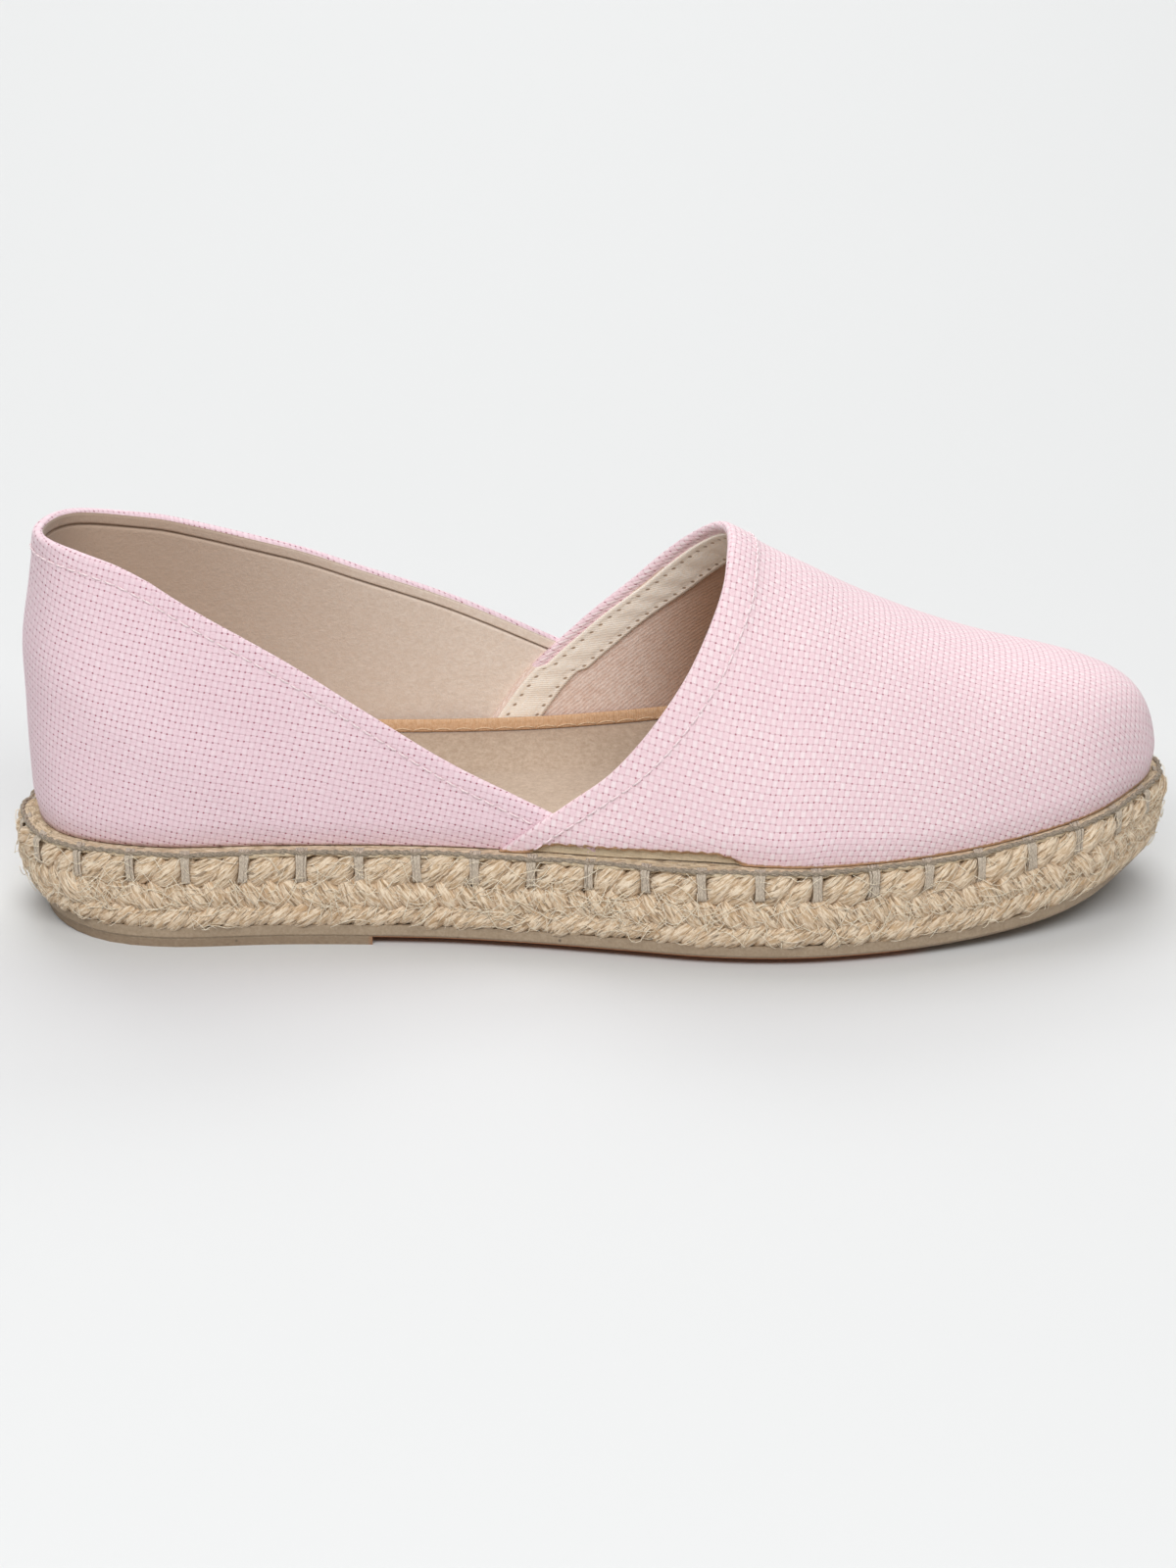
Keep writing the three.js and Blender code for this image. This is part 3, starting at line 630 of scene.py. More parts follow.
def makeTape(name, pale, dark, holeRows=()):
    material, add = startMaterial(name, 0.85, sheen=0.15, specular=0.25)
    tape = add("UVMap", uv_map="tapeMap")
    along, across = add("SeparateXYZ", tape, out=slice(0, 2))
    ribs = add("Math SINE", add("Math MULTIPLY", along, fullTurn / tapeLook["ribPitch"]))
    lint = add("TexNoise", {"Vector": tape, "Scale": 1.4, "Detail": 4.0, "Roughness": 0.65})
    layers = [(add("MapRange SMOOTHSTEP", lint, 0.3, 0.75), pale)]
    relief = add("Math MULTIPLY_ADD", ribs, 0.35, lint)
    pitch = tapeLook["holePitch"]
    toHole = add("Math FRACT", add("Math DIVIDE", along, pitch))
    toHole = add("Math MULTIPLY_ADD", toHole, pitch, -pitch / 2)
    for line in holeRows:
        spot = add("CombineXYZ", toHole, add("Math SUBTRACT", across, line))
        hole = add("MapRange SMOOTHSTEP", add("VectorMath LENGTH", spot, out="Value"), 0.55, 0.2)
        layers.append((add("Math MULTIPLY", hole, 0.85), tapeLook["hole"]))
        relief = add("Math MULTIPLY_ADD", hole, -2.0, relief)
    return finishMaterial(material, tinted(add, dark, *layers), relief, 0.35, 0.2 * mm)


# Raw jute yarn: dry bast fibres from straw to brown, fine streaks that turn slowly round the strand.
# Real fibres are 0.1 mm thick; these streaks are drawn at 0.3 mm so that they show.
def makeJute(name, pale, dark, streak):
    material, add = startMaterial(name, 0.9, sheen=0.1, specular=0.2)
    strand = add("UVMap", uv_map="strandMap")
    turned = add("Mapping", {"Vector": strand, "Rotation": (0, 0, 0.3), "Scale": (0.26, 1.5, 1.0)})
    fibre = add("TexNoise", {"Vector": turned, "Scale": 1.5, "Detail": 5.0, "Roughness": 0.75})
    gaps = add("TexNoise", {"Vector": turned, "Scale": 1.3, "Detail": 2.0, "Distortion": 0.6})
    tuft = add("TexNoise", {"Vector": strand, "Scale": 0.16, "Detail": 2.0})
    shade = add("MapRange SMOOTHSTEP", fibre, 0.41, 0.59)
    deep = add("MapRange SMOOTHSTEP", gaps, 0.44, 0.33, 0.0, 0.7)
    warm = add("MapRange SMOOTHSTEP", tuft, 0.52, 0.8, 0.0, 0.4)
    tone = tinted(add, dark, (shade, pale), (deep, streak), (warm, "#b98f63"))
    relief = add("Math MULTIPLY_ADD", deep, -0.8, fibre)
    return finishMaterial(material, tone, relief, 0.7, 0.5 * mm)


# Pressed rubber: taupe and matt with fine grit, a few pits in its side, a brown rim from the waist to
# the toe, and ribs across the treads underneath.
rubberLook = {"treadLine": 1.8, "rimTop": 2.15, "rimFoot": 1.95, "rimFrom": -48.5, "ribPitch": 2.4}


def makeRubber():
    material, add = startMaterial("pressedTaupeRubber", 0.62, ior=1.52, specular=0.4)
    place = add("TexCoord", out="Object")
    x, _, z = add("SeparateXYZ", place, out=slice(0, 3))
    grit = add("TexNoise", {"Vector": place, "Scale": 1500.0, "Detail": 3.0, "Roughness": 0.7})
    patch = add("TexNoise", {"Vector": place, "Scale": 60.0, "Detail": 3.0})
    shade = add("MapRange SMOOTHSTEP", grit, 0.3, 0.75)
    patch = add("MapRange SMOOTHSTEP", patch, 0.4, 0.75, 0.0, 0.4)
    line = rubberLook["treadLine"]
    tread = add("MapRange SMOOTHSTEP", z, (line + 0.1) * mm, (line - 0.1) * mm, 0.0, 0.45)
    start = rubberLook["rimFrom"]
    waist = add("MapRange", x, (start - 1) * mm, (start + 1) * mm)
    rim = add("MapRange SMOOTHSTEP", z, rubberLook["rimTop"] * mm, rubberLook["rimFoot"] * mm, 0.0, 0.8)
    rim = add("Math MULTIPLY", waist, rim)
    pits = add("TexVoronoi", {"Vector": place, "Scale": 160.0})
    pits = add("MapRange SMOOTHSTEP", pits, 0.1, 0.05, 0.0, 0.8)
    tone = tinted(add, "#9c8871", (shade, "#b09d86"), (patch, "#8b765f"), (tread, "#7d6752"),
                  (rim, "#b8692c"), (pits, "#3b3027"))
    ribs = add("Math SINE", add("Math MULTIPLY", x, fullTurn / (rubberLook["ribPitch"] * mm)))
    under = add("MapRange", z, 0.6 * mm, 0.3 * mm, 0.0, 1.5)
    relief = add("Math ADD", add("Math MULTIPLY", ribs, under), grit)
    return finishMaterial(material, tone, relief, 0.25, 0.3 * mm)


# Sewing and cord yarns: spun, slightly shiny, each ply with a painted highlight on one side and painted
# shade on the other.
def makeYarn(name, paintedLitTone, shade):
    material, add = startMaterial(name, 0.8, sheen=0.15, specular=0.35)
    strand = add("UVMap", uv_map="strandMap")
    ply = add("Mapping", {"Vector": strand, "Rotation": (0, 0, 0.7), "Scale": (1.0, 3.0, 1.0)})
    twist = add("TexNoise", {"Vector": ply, "Scale": 1.8, "Detail": 3.0})
    # painted highlight and shade in streaks that follow the ply's twist
    side = add("MapRange SMOOTHSTEP", twist, 0.3, 0.7)
    return finishMaterial(material, tinted(add, shade, (side, paintedLitTone)), twist, 0.4, 0.1 * mm)


print("materials")
vampCanvas = makeCanvas("basketWeaveCottonCanvas", canvasLooks["vamp"])
quarterCanvas = makeCanvas("flatterBasketWeaveCanvas", canvasLooks["quarter"])
# the lining gets painted shade that darkens it towards the heel
quarterSuede = makeSuede("microfibreSuedeLining", "#fcf0e4", "#ecdbcb", seamAt=2.3, paintedHeelShade="#b79e8a")
footbedSuede = makeSuede("microfibreSuedeFootbed", "#cdb9a5", "#b19a85")
twill = makeTwill()
creamTape = makeTape("creamCottonTape", "#fffaf2", "#faecda", holeRows=(1.5, 8.0))
bindingTape = makeTape("tanGrosgrainRibbon", "#e3bf9c", "#cda27b")
jute = makeJute("sunBleachedJuteYarn", "#f4e2c9", "#c8aa87", "#80664a")
# a darker copy of the jute, painted shade for the core that shows between the plaits
shadedJute = makeJute("juteWithPaintedShadeInTheGaps", "#b3966f", "#82684a", "#4f3d2a")
weltCotton = makeJute("unbleachedWeltCotton", "#eddcc0", "#c5ac89", "#9a8466")
rubber = makeRubber()
greyYarn = makeYarn("greyWaxedStitchYarn", "#d9ccba", "#a39584")
cordYarn = makeYarn("frayedGreyBrownCord", "#b3a48f", "#6f6459")
pinkThread = makeYarn("palePinkSewingThread", "#fbeeee", "#e9ccd2")
strawHair = makeYarn("looseJuteFibre", "#fff8e8", "#ead6b4")
tanThread = makeYarn("tanSewingThread", "#eed5b6", "#cba883")


# Vamp: canvas over a twill lining, one wall with a turned-in hem along its rear edge.
vamp = {
    "rows": 170,
    "columns": 220,
    "tipAngle": 0.03,
    "crossingLift": 1.6,
    "footTuck": 1.1,  # the cloth turns under just above the welt
    "footTuckHeight": 7,
    "bareFoot": 2.2,  # how far the canvas ends above the welt there
    "canvasThickness": 1.1,
    "hemWidth": 6.2,
    "hemRise": 0.35,
    "stitchPitch": 3.0,
    "stitchLength": 2.4,
    "threadRadius": 0.23,
    "turnedIn": 4.6,
    "barePart": (109, 117, 150, 158),  # X where the canvas starts and stops ending high
    "clothFrom": 95,
    "clothMiddle": 300,  # V of the instep on the cloth's map
    "rippleHeight": 0.18,
    "rippleLength": 7.3,
    "crossingFade": (124, 150),
    "rowScale": (0.9, 1.12),  # weave rows crowd a little towards the toe
    "lean": 0.2,  # how much the grain leans away from the instep
}


def vampGrid():
    sweep = np.linspace(-1, 1, vamp["columns"] + 1)
    side = np.where(sweep < 0, -1, 1)
    round = (1 - np.abs(sweep)) ** 1.35
    edges = [curveThrough(vampEdge[way])(round) for way in ("outer", "inner")]
    start = np.where(side < 0, *edges)
    share = np.linspace(0, 1, vamp["rows"] + 1)[:, None] ** 1.3
    angle = mix(turnAt(start, upperTip)[None], math.pi - vamp["tipAngle"], share)
    x = upperTip * (1 - np.cos(angle)) / 2
    round = np.broadcast_to(round, x.shape)
    side = np.broadcast_to(side, x.shape)
    return x, round, side, lastPoint(x, round, side)


def clothLengths(xs, side):
    # Length from the sole up round the last, at each X and share of the way round.
    rounds = np.linspace(0, 1, 90)
    points = lastPoint(xs[:, None], rounds[None], side)
    return rounds, lengthsDown(points.swapaxes(0, 1)).T


def vampCloth(x, round, side):
    # The canvas laid flat: how far along the instep and how far down from it each point lies.
    xs = np.linspace(vamp["clothFrom"], upperTip - 0.02, 200)
    result = np.zeros(x.shape + (2,))
    along = walkedAlong(lastPoint(xs, np.ones_like(xs), 1))
    for one in (-1, 1):
        rounds, table = clothLengths(xs, one)
        fi = np.clip((x - xs[0]) / (xs[1] - xs[0]), 0, len(xs) - 1.001)
        fj = np.clip(round / (rounds[1] - rounds[0]), 0, len(rounds) - 1.001)
        i = fi.astype(int)
        j = fj.astype(int)
        top = mix(table[i, j], table[i, j + 1], fj - j)
        bottom = mix(table[i + 1, j], table[i + 1, j + 1], fj - j)
        down = np.interp(x, xs, table[:, -1]) - mix(top, bottom, fi - i)
        crowd = mix(*vamp["rowScale"], smooth(150, 205, x))
        lean = vamp["lean"] * (np.sqrt(down**2 + 100) - 10)
        here = side == one
        result[..., 0] = np.where(here, np.interp(x, xs, along) + lean, result[..., 0])
        result[..., 1] = np.where(here, one * down * crowd + vamp["clothMiddle"], result[..., 1])
    return result


def underTape(side, round):
    # Low on the inner side the vamp lies inside the quarter, and its tape wraps its rim.
    return (side > 0) & (round < 0.2)


def sewHem(name, part, outer, normal, down, lift):
    line = lineAt(outer, down, part["hemWidth"] - 0.5)
    out = unit(lineAt(normal, down, part["hemWidth"]))
    paths, out = stitchesAlong(line, out, part["stitchPitch"], part["stitchLength"], lift)
    makeTubes(name, "upper", pinkThread, paths, part["threadRadius"], out, sides=6)


def makeVamp():
    x, round, side, last = vampGrid()
    normal = gridNormals(last)
    if normal[len(normal) // 2, vamp["columns"] // 2, 2] < 0:
        normal = -normal
    height = last[..., 2] - shoe["upperBase"] - toeSpring(x)
    lift = np.where(side < 0, vamp["crossingLift"] * fade(*vamp["crossingFade"], x), 0)
    lift = lift * fade(0.25, 0.6, round)
    down = lengthsDown(last)
    hem = vamp["hemRise"] * fade(vamp["hemWidth"] - 0.4, vamp["hemWidth"] + 0.9, down)
    sewn = -0.22 * bump(down - vamp["hemWidth"] + 0.5, 0.5)
    tuck = -vamp["footTuck"] * fade(0, vamp["footTuckHeight"], height)
    ripple = vamp["rippleHeight"] * np.sin(x / vamp["rippleLength"] + 3 * round)
    ripple = ripple * smooth(0, 12, height) * fade(0.5, 0.9, round)
    shape = lift + hem + sewn + tuck + ripple
    outer = last + normal * shape[..., None]
    inner = last + normal * (lift + tuck * 0.6 - shoe["wall"])[..., None]
    # Behind the little toe's joint the canvas ends above the welt, raggedly, and shows the layer under it.
    start, whole, fading, end = vamp["barePart"]
    bare = vamp["bareFoot"] * smooth(start, whole, x) * fade(fading, end, x) * (side < 0)
    frayed = 0.16 * np.sin(x * 2.1) + 0.13 * np.sin(x * 5.3 + 1)
    rawEdge = bare + frayed * smooth(0.3, 1.2, bare)
    under = fade(rawEdge - 0.2, rawEdge + 0.1, height) * smooth(0.3, 1.0, bare)
    outer = outer - normal * (vamp["canvasThickness"] * under)[..., None]
    for face in (outer, inner):
        face[..., 2] = np.maximum(face[..., 2], shoe["upperBase"] + toeSpring(x) - 0.05)
    cloth = vampCloth(x, round, side)
    aboveEdge = np.where(side < 0, height - rawEdge, farOff)
    onOuter = stacked(down, aboveEdge)
    onInner = stacked(-down, farOff)
    maps = {"clothMap": (cloth, cloth), "edgeMap": (onOuter, onInner)}
    wrapped = underTape(side[0], round[0])
    turnedIn = np.where(wrapped, 0.3, vamp["turnedIn"])
    piece = makeWall("vampCanvas", outer, inner, maps, [vampCanvas, twill], turnedIn)
    finishPiece(piece, "upper", "upper")
    sewHem("vampHemStitches", vamp, outer, normal, down, 0.5)
    return inner, normal, wrapped


# Cream tape sewn inside the vamp's rear edge; it puckers a little between its stitches.
innerTape = {
    "from": 1.6,
    "to": 10.8,
    "rows": 12,
    "thickness": 0.5,
    "pucker": 0.14,
    "stitchDip": 0.25,
}


def makeInnerTape(inner, normal, wrapped):
    down = lengthsDown(inner)
    start = np.where(wrapped, 0.1, innerTape["from"])
    width = innerTape["to"] - innerTape["from"]
    across = np.linspace(0, width, innerTape["rows"])[:, None]
    lines = np.array([lineAt(inner, down, start + d) for d in across])
    out = unit(np.array([lineAt(normal, down, start + d) for d in across]))
    along = walkedAlong(lines[3])
    edge = np.minimum(across, width - across)
    wrinkles = np.sin(along * 0.9 + 0.6 * np.sin(along * 0.23))[None]
    pucker = innerTape["pucker"] * wrinkles * smooth(0.5, 3.5, edge)
    rise = innerTape["thickness"] + pucker - innerTape["stitchDip"] * bump(edge - 1.4, 0.5)
    face = lines - out * (rise[..., None] + 0.05)
    back = lines + out * 0.15
    maps = stacked(along[None], across)
    looks = [creamTape, creamTape]
    piece = makeWall("vampInnerTape", face, back, {"tapeMap": (maps, maps)}, looks, turnedIn=0, rimSteps=3)
    finishPiece(piece, "upper")


# Heel quarter: canvas lined with suede, cut with its grain a little askew to the sole.
quarter = {
    "stations": 260,
    "rows": 84,
    "crossingLift": 1.6,
    "crossingFrom": (72, 100),
    "grainDrop": 0.23,
    "hemWidth": 3.4,
    "hemRise": 0.25,
    "seamDepth": 2.3,
    "stitchPitch": 3.0,
    "stitchLength": 2.4,
    "threadRadius": 0.22,
    "turnedIn": 2.9,
    "stiffener": {"top": 40, "slope": 0.62, "height": 0.8, "width": 9, "fade": (45, 75)},
}


def makeQuarter():
    rowsOuter = [(float(turnAt(x)), height) for x, height in quarterTop["outer"]]
    rowsInner = [(-float(turnAt(x)), height) for x, height in quarterTop["inner"]][::-1]
    top = curveThrough(rowsInner + [(0, shoe["heelCollar"])] + rowsOuter)
    angle = np.linspace(rowsInner[0][0], rowsOuter[-1][0], quarter["stations"] + 1)
    share = 1 - np.linspace(0, 1, quarter["rows"] + 1)[:, None] ** 1.6
    height = top(angle)[None] * share
    last = quarterPoint(np.broadcast_to(angle, height.shape), height)
    normal = gridNormals(last)
    heelColumn = int(np.argmin(np.abs(angle)))
    if normal[len(normal) // 2, heelColumn, 0] > 0:
        normal = -normal
    x = last[..., 0]
    inward = np.broadcast_to(angle < 0, x.shape)
    lift = np.where(inward, quarter["crossingLift"] * smooth(*quarter["crossingFrom"], x), 0)
    down = lengthsDown(last)
    hem = quarter["hemRise"] * fade(quarter["hemWidth"] - 0.4, quarter["hemWidth"] + 0.8, down)
    sewn = -0.2 * bump(down - quarter["hemWidth"] + 0.5, 0.5)
    tuck = -0.7 * fade(0, 6, height)
    # The stiffener round the heel ends in a soft ridge that runs down and forward.
    stiff = quarter["stiffener"]
    ridgeLine = stiff["top"] - stiff["slope"] * np.maximum(x - 8, 0)
    counter = stiff["height"] * bump(height - ridgeLine, stiff["width"]) * fade(*stiff["fade"], x)
    outer = last + normal * (lift + hem + sewn + tuck + counter)[..., None]
    seam = -0.6 * bump(down - quarter["seamDepth"], 0.32)
    roll = 0.3 * fade(quarter["seamDepth"] - 0.5, quarter["seamDepth"], down)
    inner = last + normal * (lift - shoe["wall"] - seam - roll)[..., None]
    for face in (outer, inner):
        face[..., 2] = np.maximum(face[..., 2], shoe["upperBase"] + toeSpring(x))
    walked = np.interp(np.mod(angle, fullTurn), loopTurns, loopLength)
    walked = np.where(angle < 0, walked - around, walked)[None]
    drop = quarter["grainDrop"] * (np.sqrt(walked**2 + 400) - 20)
    u = walked - quarter["grainDrop"] * height * np.tanh(walked / 20)
    cloth = stacked(u, height + drop)
    onOuter = stacked(down, farOff)
    onInner = stacked(-down, farOff)
    maps = {"clothMap": (cloth, cloth), "edgeMap": (onOuter, onInner)}
    looks = [quarterCanvas, quarterSuede]
    piece = makeWall("quarterCanvas", outer, inner, maps, looks, quarter["turnedIn"])
    finishPiece(piece, "upper", "upper")
    sewHem("quarterHemStitches", quarter, outer, normal, down, 0.45)


# Footbed and its woven binding
footbed = {
    "thickness": 3.6,
    "rise": 4.8,  # how much higher it stands at the arch
    "clearance": 0.55,
    "toeClearance": 2,
    "edgeRoll": 0.9,
    "archChange": (20, 80, 140, 200),  # X where the arch starts, is full, and starts and stops to fall
    "stations": 150,
    "across": 44,
}


def medialRise(x):
    start, full, falling, end = footbed["archChange"]
    return footbed["rise"] * smooth(start, full, x) * fade(falling, end, x)


def insideWall(turn, height, inward=0.0):
    x = soleEdge(turn)[0]
    lining = baseInset(x) + np.maximum(0, wallInset(x, height, sideOf(turn))) + shoe["wall"]
    clear = footbed["clearance"] + footbed["toeClearance"] * smooth(205, 245, x)
    return soleEdge(turn, lining + clear + inward)


def footbedHeight(x, side, share):
    rim = footbed["thickness"] + np.where(side > 0, medialRise(x), 0)
    return mix(rim, footbed["thickness"], smooth(0, 0.7, share))


def makeFootbed():
    half = around / 2
    stations = np.linspace(0.4, half - 0.4, footbed["stations"])
    shares = np.linspace(0, 1, footbed["across"] // 2 + 1) ** 1.4
    sides = []
    for side in (-1, 1):
        turn = turnAtLength(stations if side < 0 else around - stations)[:, None]
        edgeY = np.abs(insideWall(turn, footbed["thickness"] + footbed["rise"])[1])
        reach = shares[None] * edgeY * 0.985
        x, y, _, _ = insideWall(turn, footbed["thickness"] + footbed["rise"], reach)
        roll = -footbed["edgeRoll"] * fade(0, 0.03, shares)[None]
        sides.append(overSole(x, y, footbedHeight(x, side, shares[None]) + roll))
    grid = np.concatenate([sides[0], sides[1][:, ::-1]], axis=1)
    rows, columns, _ = grid.shape
    floor = grid.copy()
    floor[..., 2] = shoe["upperBase"] + toeSpring(floor[..., 0]) + 0.1
    points = np.concatenate([grid.reshape(-1, 3), floor.reshape(-1, 3)])
    faces = gridFaces(rows, columns) + gridFaces(rows, columns, start=rows * columns)
    rim = list(range(columns)) + [i * columns + columns - 1 for i in range(1, rows)]
    rim += [(rows - 1) * columns + j for j in range(columns - 2, -1, -1)]
    rim += [i * columns for i in range(rows - 2, 0, -1)]
    for a, b in zip(rim, rim[1:] + rim[:1]):
        faces.append([a, b, b + rows * columns, a + rows * columns])
    piece = makePiece("footbedSock", points, faces, None, [footbedSuede])
    finishPiece(piece, "insole", "insole")


binding = {
    "arch": 2.9,
    "elsewhere": 1.6,
    "thickness": 1.0,
    "stations": 420,
    "scallop": 4.4,
    "threadRadius": 0.16,
    # Round its section: inwards, and the share of its height
    "section": [(0.1, 0.0), (0.9, 0.0), (1.05, 0.12), (1.1, 0.35), (1.1, 0.7), (1.02, 0.88), (0.8, 0.97),
                (0.45, 1.0), (0.2, 0.97)],
}


def bindingFoot(turn):
    x = soleEdge(turn)[0]
    side = sideOf(turn)
    arch = np.where(side > 0, smooth(15, 70, x) * fade(160, 230, x), 0)
    tall = mix(binding["elsewhere"], binding["arch"], arch)
    return footbedHeight(x, side, 0) + 0.1, tall


def makeBinding():
    length = np.linspace(0, around, binding["stations"], endpoint=False)
    turn = turnAtLength(length)
    foot, tall = bindingFoot(turn)
    rings = []
    flat = []
    for inward, up in binding["section"]:
        x, y, _, _ = insideWall(turn, foot + tall, inward * binding["thickness"])
        rings.append(overSole(x, y, foot + up * tall))
        flat.append(stacked(length, up * tall + inward))
    makeBand("footbedBinding", rings, flat, "tapeMap", bindingTape, "insole_binding")
    # The sewing runs in shallow scallops near the tape's foot.
    pitch = binding["scallop"]
    t = np.linspace(0, 1, 7)
    turns = turnAtLength(np.arange(0, around, pitch)[:, None] + pitch * (0.06 + 0.88 * t)[None])
    foot, tall = bindingFoot(turns)
    up = tall * 0.16 + 0.42 * np.sin(t * math.pi)[None]
    x, y, outX, outY = insideWall(turns, foot + tall, 1.12 * binding["thickness"])
    paths = overSole(x, y, foot + up)
    facing = -stacked(outX, outY, 0)
    radius = binding["threadRadius"]
    makeTubes("bindingStitches", "insole_binding", tanThread, paths, radius, facing, sides=5)


# Sole
def layerHeight(x, share):
    return mix(shoe["juteBottom"] + underLift(x), shoe["juteTop"] + toeSpring(x), share)


def sideInset(x, share):
    return 0.6 * endTuck(x) * np.maximum(0, 1 - share) ** 2.5


core = {
    "stations": 400,
    # From the bottom up: share of the height, inset, and whether it tucks in with the sole's ends
    "section": [(0, 3.4, 1), (0.1, 2.6, 1), (0.5, 2.6, 1), (0.93, 2.4, 0), (1, 3.2, 0)],
}


def makeJuteCore():
    # The body behind the plaits, which shows in shadow between them; its jute is a darker copy, painted
    # shade.
    stations = core["stations"]
    length = np.linspace(0, around, stations, endpoint=False)
    turn = turnAtLength(length)
    middle = soleEdge(turn)[0]
    rows = []
    for share, inset, tucked in core["section"]:
        x, y, _, _ = soleEdge(turn, inset + tucked * sideInset(middle, share))
        rows.append(stacked(x, y, layerHeight(x, share)))
    rows = np.array(rows)
    flat = stacked(length[None], walkedAlong(rows[:, 0])[:, None])
    faces = gridFaces(len(rows), stations, closedColumns=True)
    # Both caps are closed across the shoe, from one side to the other.
    for base in (0, (len(rows) - 1) * stations):
        for i in range(stations // 2 - 1):
            j = stations - 1 - i
            faces.append([base + i, base + i + 1, base + j - 1, base + j])
    piece = makePiece("juteCore", rows.reshape(-1, 3), faces, {"strandMap": flat}, [shadedJute])
    finishPiece(piece, "midsole", "midsole")


# Three plaits, seen as rows of short slanting strands. Middle is a share of the jute's height, pitch a
# share of the yarn stitches' spacing, lean is in degrees.
juteRows = {
    "juteTopRow": {
        "middle": 0.79, "pitch": 1 / 2, "lean": 36, "length": 12.5, "radius": 2.9, "depth": 1.75,
        "sides": 14, "steps": 15, "pinched": True,
    },
    "juteMiddleRow": {
        "middle": 0.43, "pitch": 1 / 3, "lean": 124, "length": 9.4, "radius": 2.5, "depth": 1.6,
        "sides": 10, "steps": 8,
    },
    "juteBottomRow": {
        "middle": 0.14, "pitch": 1 / 4, "lean": 38, "length": 9.6, "radius": 1.85, "depth": 1.25,
        "sides": 9, "steps": 8,
    },
}
sewing = {
    "count": 47,
    "first": 5.5,
    "threads": 5,
    "width": 1.9,
    "radius": 0.27,
    "draw": 2.0,  # how deep a stitch draws the strands in
    "drawWidth": 1.35,
    "top": 1.07,  # shares of the jute's height between which a stitch shows
    "end": 0.57,
}
stitchSpacing = around / sewing["count"]


def fromStitch(length):
    # How far the nearest yarn stitch is, as a share of their spacing.
    return ((length - sewing["first"]) / stitchSpacing + 0.5) % 1 - 0.5


def loopPoints(length, inset, share):
    turn = turnAtLength(length)
    middle = soleEdge(turn)[0]
    x, y, outX, outY = soleEdge(turn, inset + sideInset(middle, share))
    points = stacked(x, y, layerHeight(x, share))
    return points, stacked(outX, outY, 0)


def makeJuteRow(name, row):
    count = round(sewing["count"] / row["pitch"])
    centres = (np.arange(count) + 0.5) * around / count + sewing["first"]
    lean = np.radians(row["lean"] + random.normal(0, 4, count))
    size = 1 + random.normal(0, 0.05, count)
    t = np.linspace(-1, 1, row["steps"])[None]
    half = row["length"] / 2 * size[:, None]
    along = centres[:, None] + t * half * np.cos(lean)[:, None]
    tall = shoe["juteTop"] - shoe["juteBottom"]
    middle = row["middle"] + random.normal(0, 0.014, count)[:, None]
    share = middle + t * half * np.sin(lean)[:, None] / tall
    inset = row["depth"] + 1.9 * np.abs(t) ** 2.6 + random.normal(0, 0.18, count)[:, None]
    points, out = loopPoints(along, inset, share)
    radii = row["radius"] * size[:, None] * np.maximum(1 - np.abs(t) ** 2.3, 0.02) ** 0.6

    def plies(angle, t):
        # Three grooves between the plies, turning as the strand is twisted.
        turnRound = 1.5 * (angle - 2.4 * t + 0.6)
        return 1 - 0.12 * np.abs(np.cos(turnRound)) ** 6

    def pinch(ring):
        # Each yarn stitch draws the strands under it inwards.
        ahead = stacked(-out[..., 1], out[..., 0], 0)[:, :, None]
        beside = along[:, :, None] + ((ring - points[:, :, None]) * ahead).sum(axis=-1)
        draw = sewing["draw"] * bump(fromStitch(beside) * stitchSpacing, sewing["drawWidth"])
        ring = ring - out[:, :, None] * draw[..., None]
        ceiling = shoe["weltTop"] + toeSpring(ring[..., 0]) - 0.1 - 0.5 * draw
        squashed = ceiling + 0.25 * np.tanh((ring[..., 2] - ceiling) / 0.5)
        ring[..., 2] = np.minimum(ring[..., 2], squashed)
        return ring

    press = pinch if row.get("pinched") else None
    makeTubes(name, "midsole", jute, points, radii, out, row["sides"], flat=0.8, groove=plies, press=press)


def makeSoleYarns():
    count = sewing["count"]
    centres = np.arange(count)[:, None] * stitchSpacing + sewing["first"]
    paths = []
    outs = []
    # By hand: some stitches lie deeper, reach further down or slant.
    sunk = random.uniform(-0.1, 0.5, (count, 1))
    end = sewing["end"] + random.normal(0, 0.03, (count, 1))
    slant = random.normal(0, 0.45, (count, 1))
    t = np.linspace(0, 1, 12)[None]
    share = mix(sewing["top"], end, t)
    for k in range(sewing["threads"]):
        offset = (k / (sewing["threads"] - 1) - 0.5) * sewing["width"]
        pinch = 1 - 0.25 * np.sin(t * math.pi)
        along = centres + offset * pinch + slant * (t - 0.5) + random.normal(0, 0.1, (count, 1))
        inset = 0.45 + sunk + 2.2 * fade(0, 0.2, t) + 2.2 * smooth(0.82, 1, t)
        points, out = loopPoints(along, inset, share)
        paths.append(points)
        outs.append(out)
    paths, outs = np.concatenate(paths), np.concatenate(outs)
    makeTubes("soleStitches", "midsole", greyYarn, paths, sewing["radius"], outs, sides=7)


fuzz = {
    "count": 1700,
    "stray": 110,
    "steps": 5,
    "length": (2.5, 9.0),
    "radius": (0.05, 0.1),
    "reach": (0.8, 2.6),  # how far a stray end stands off
}


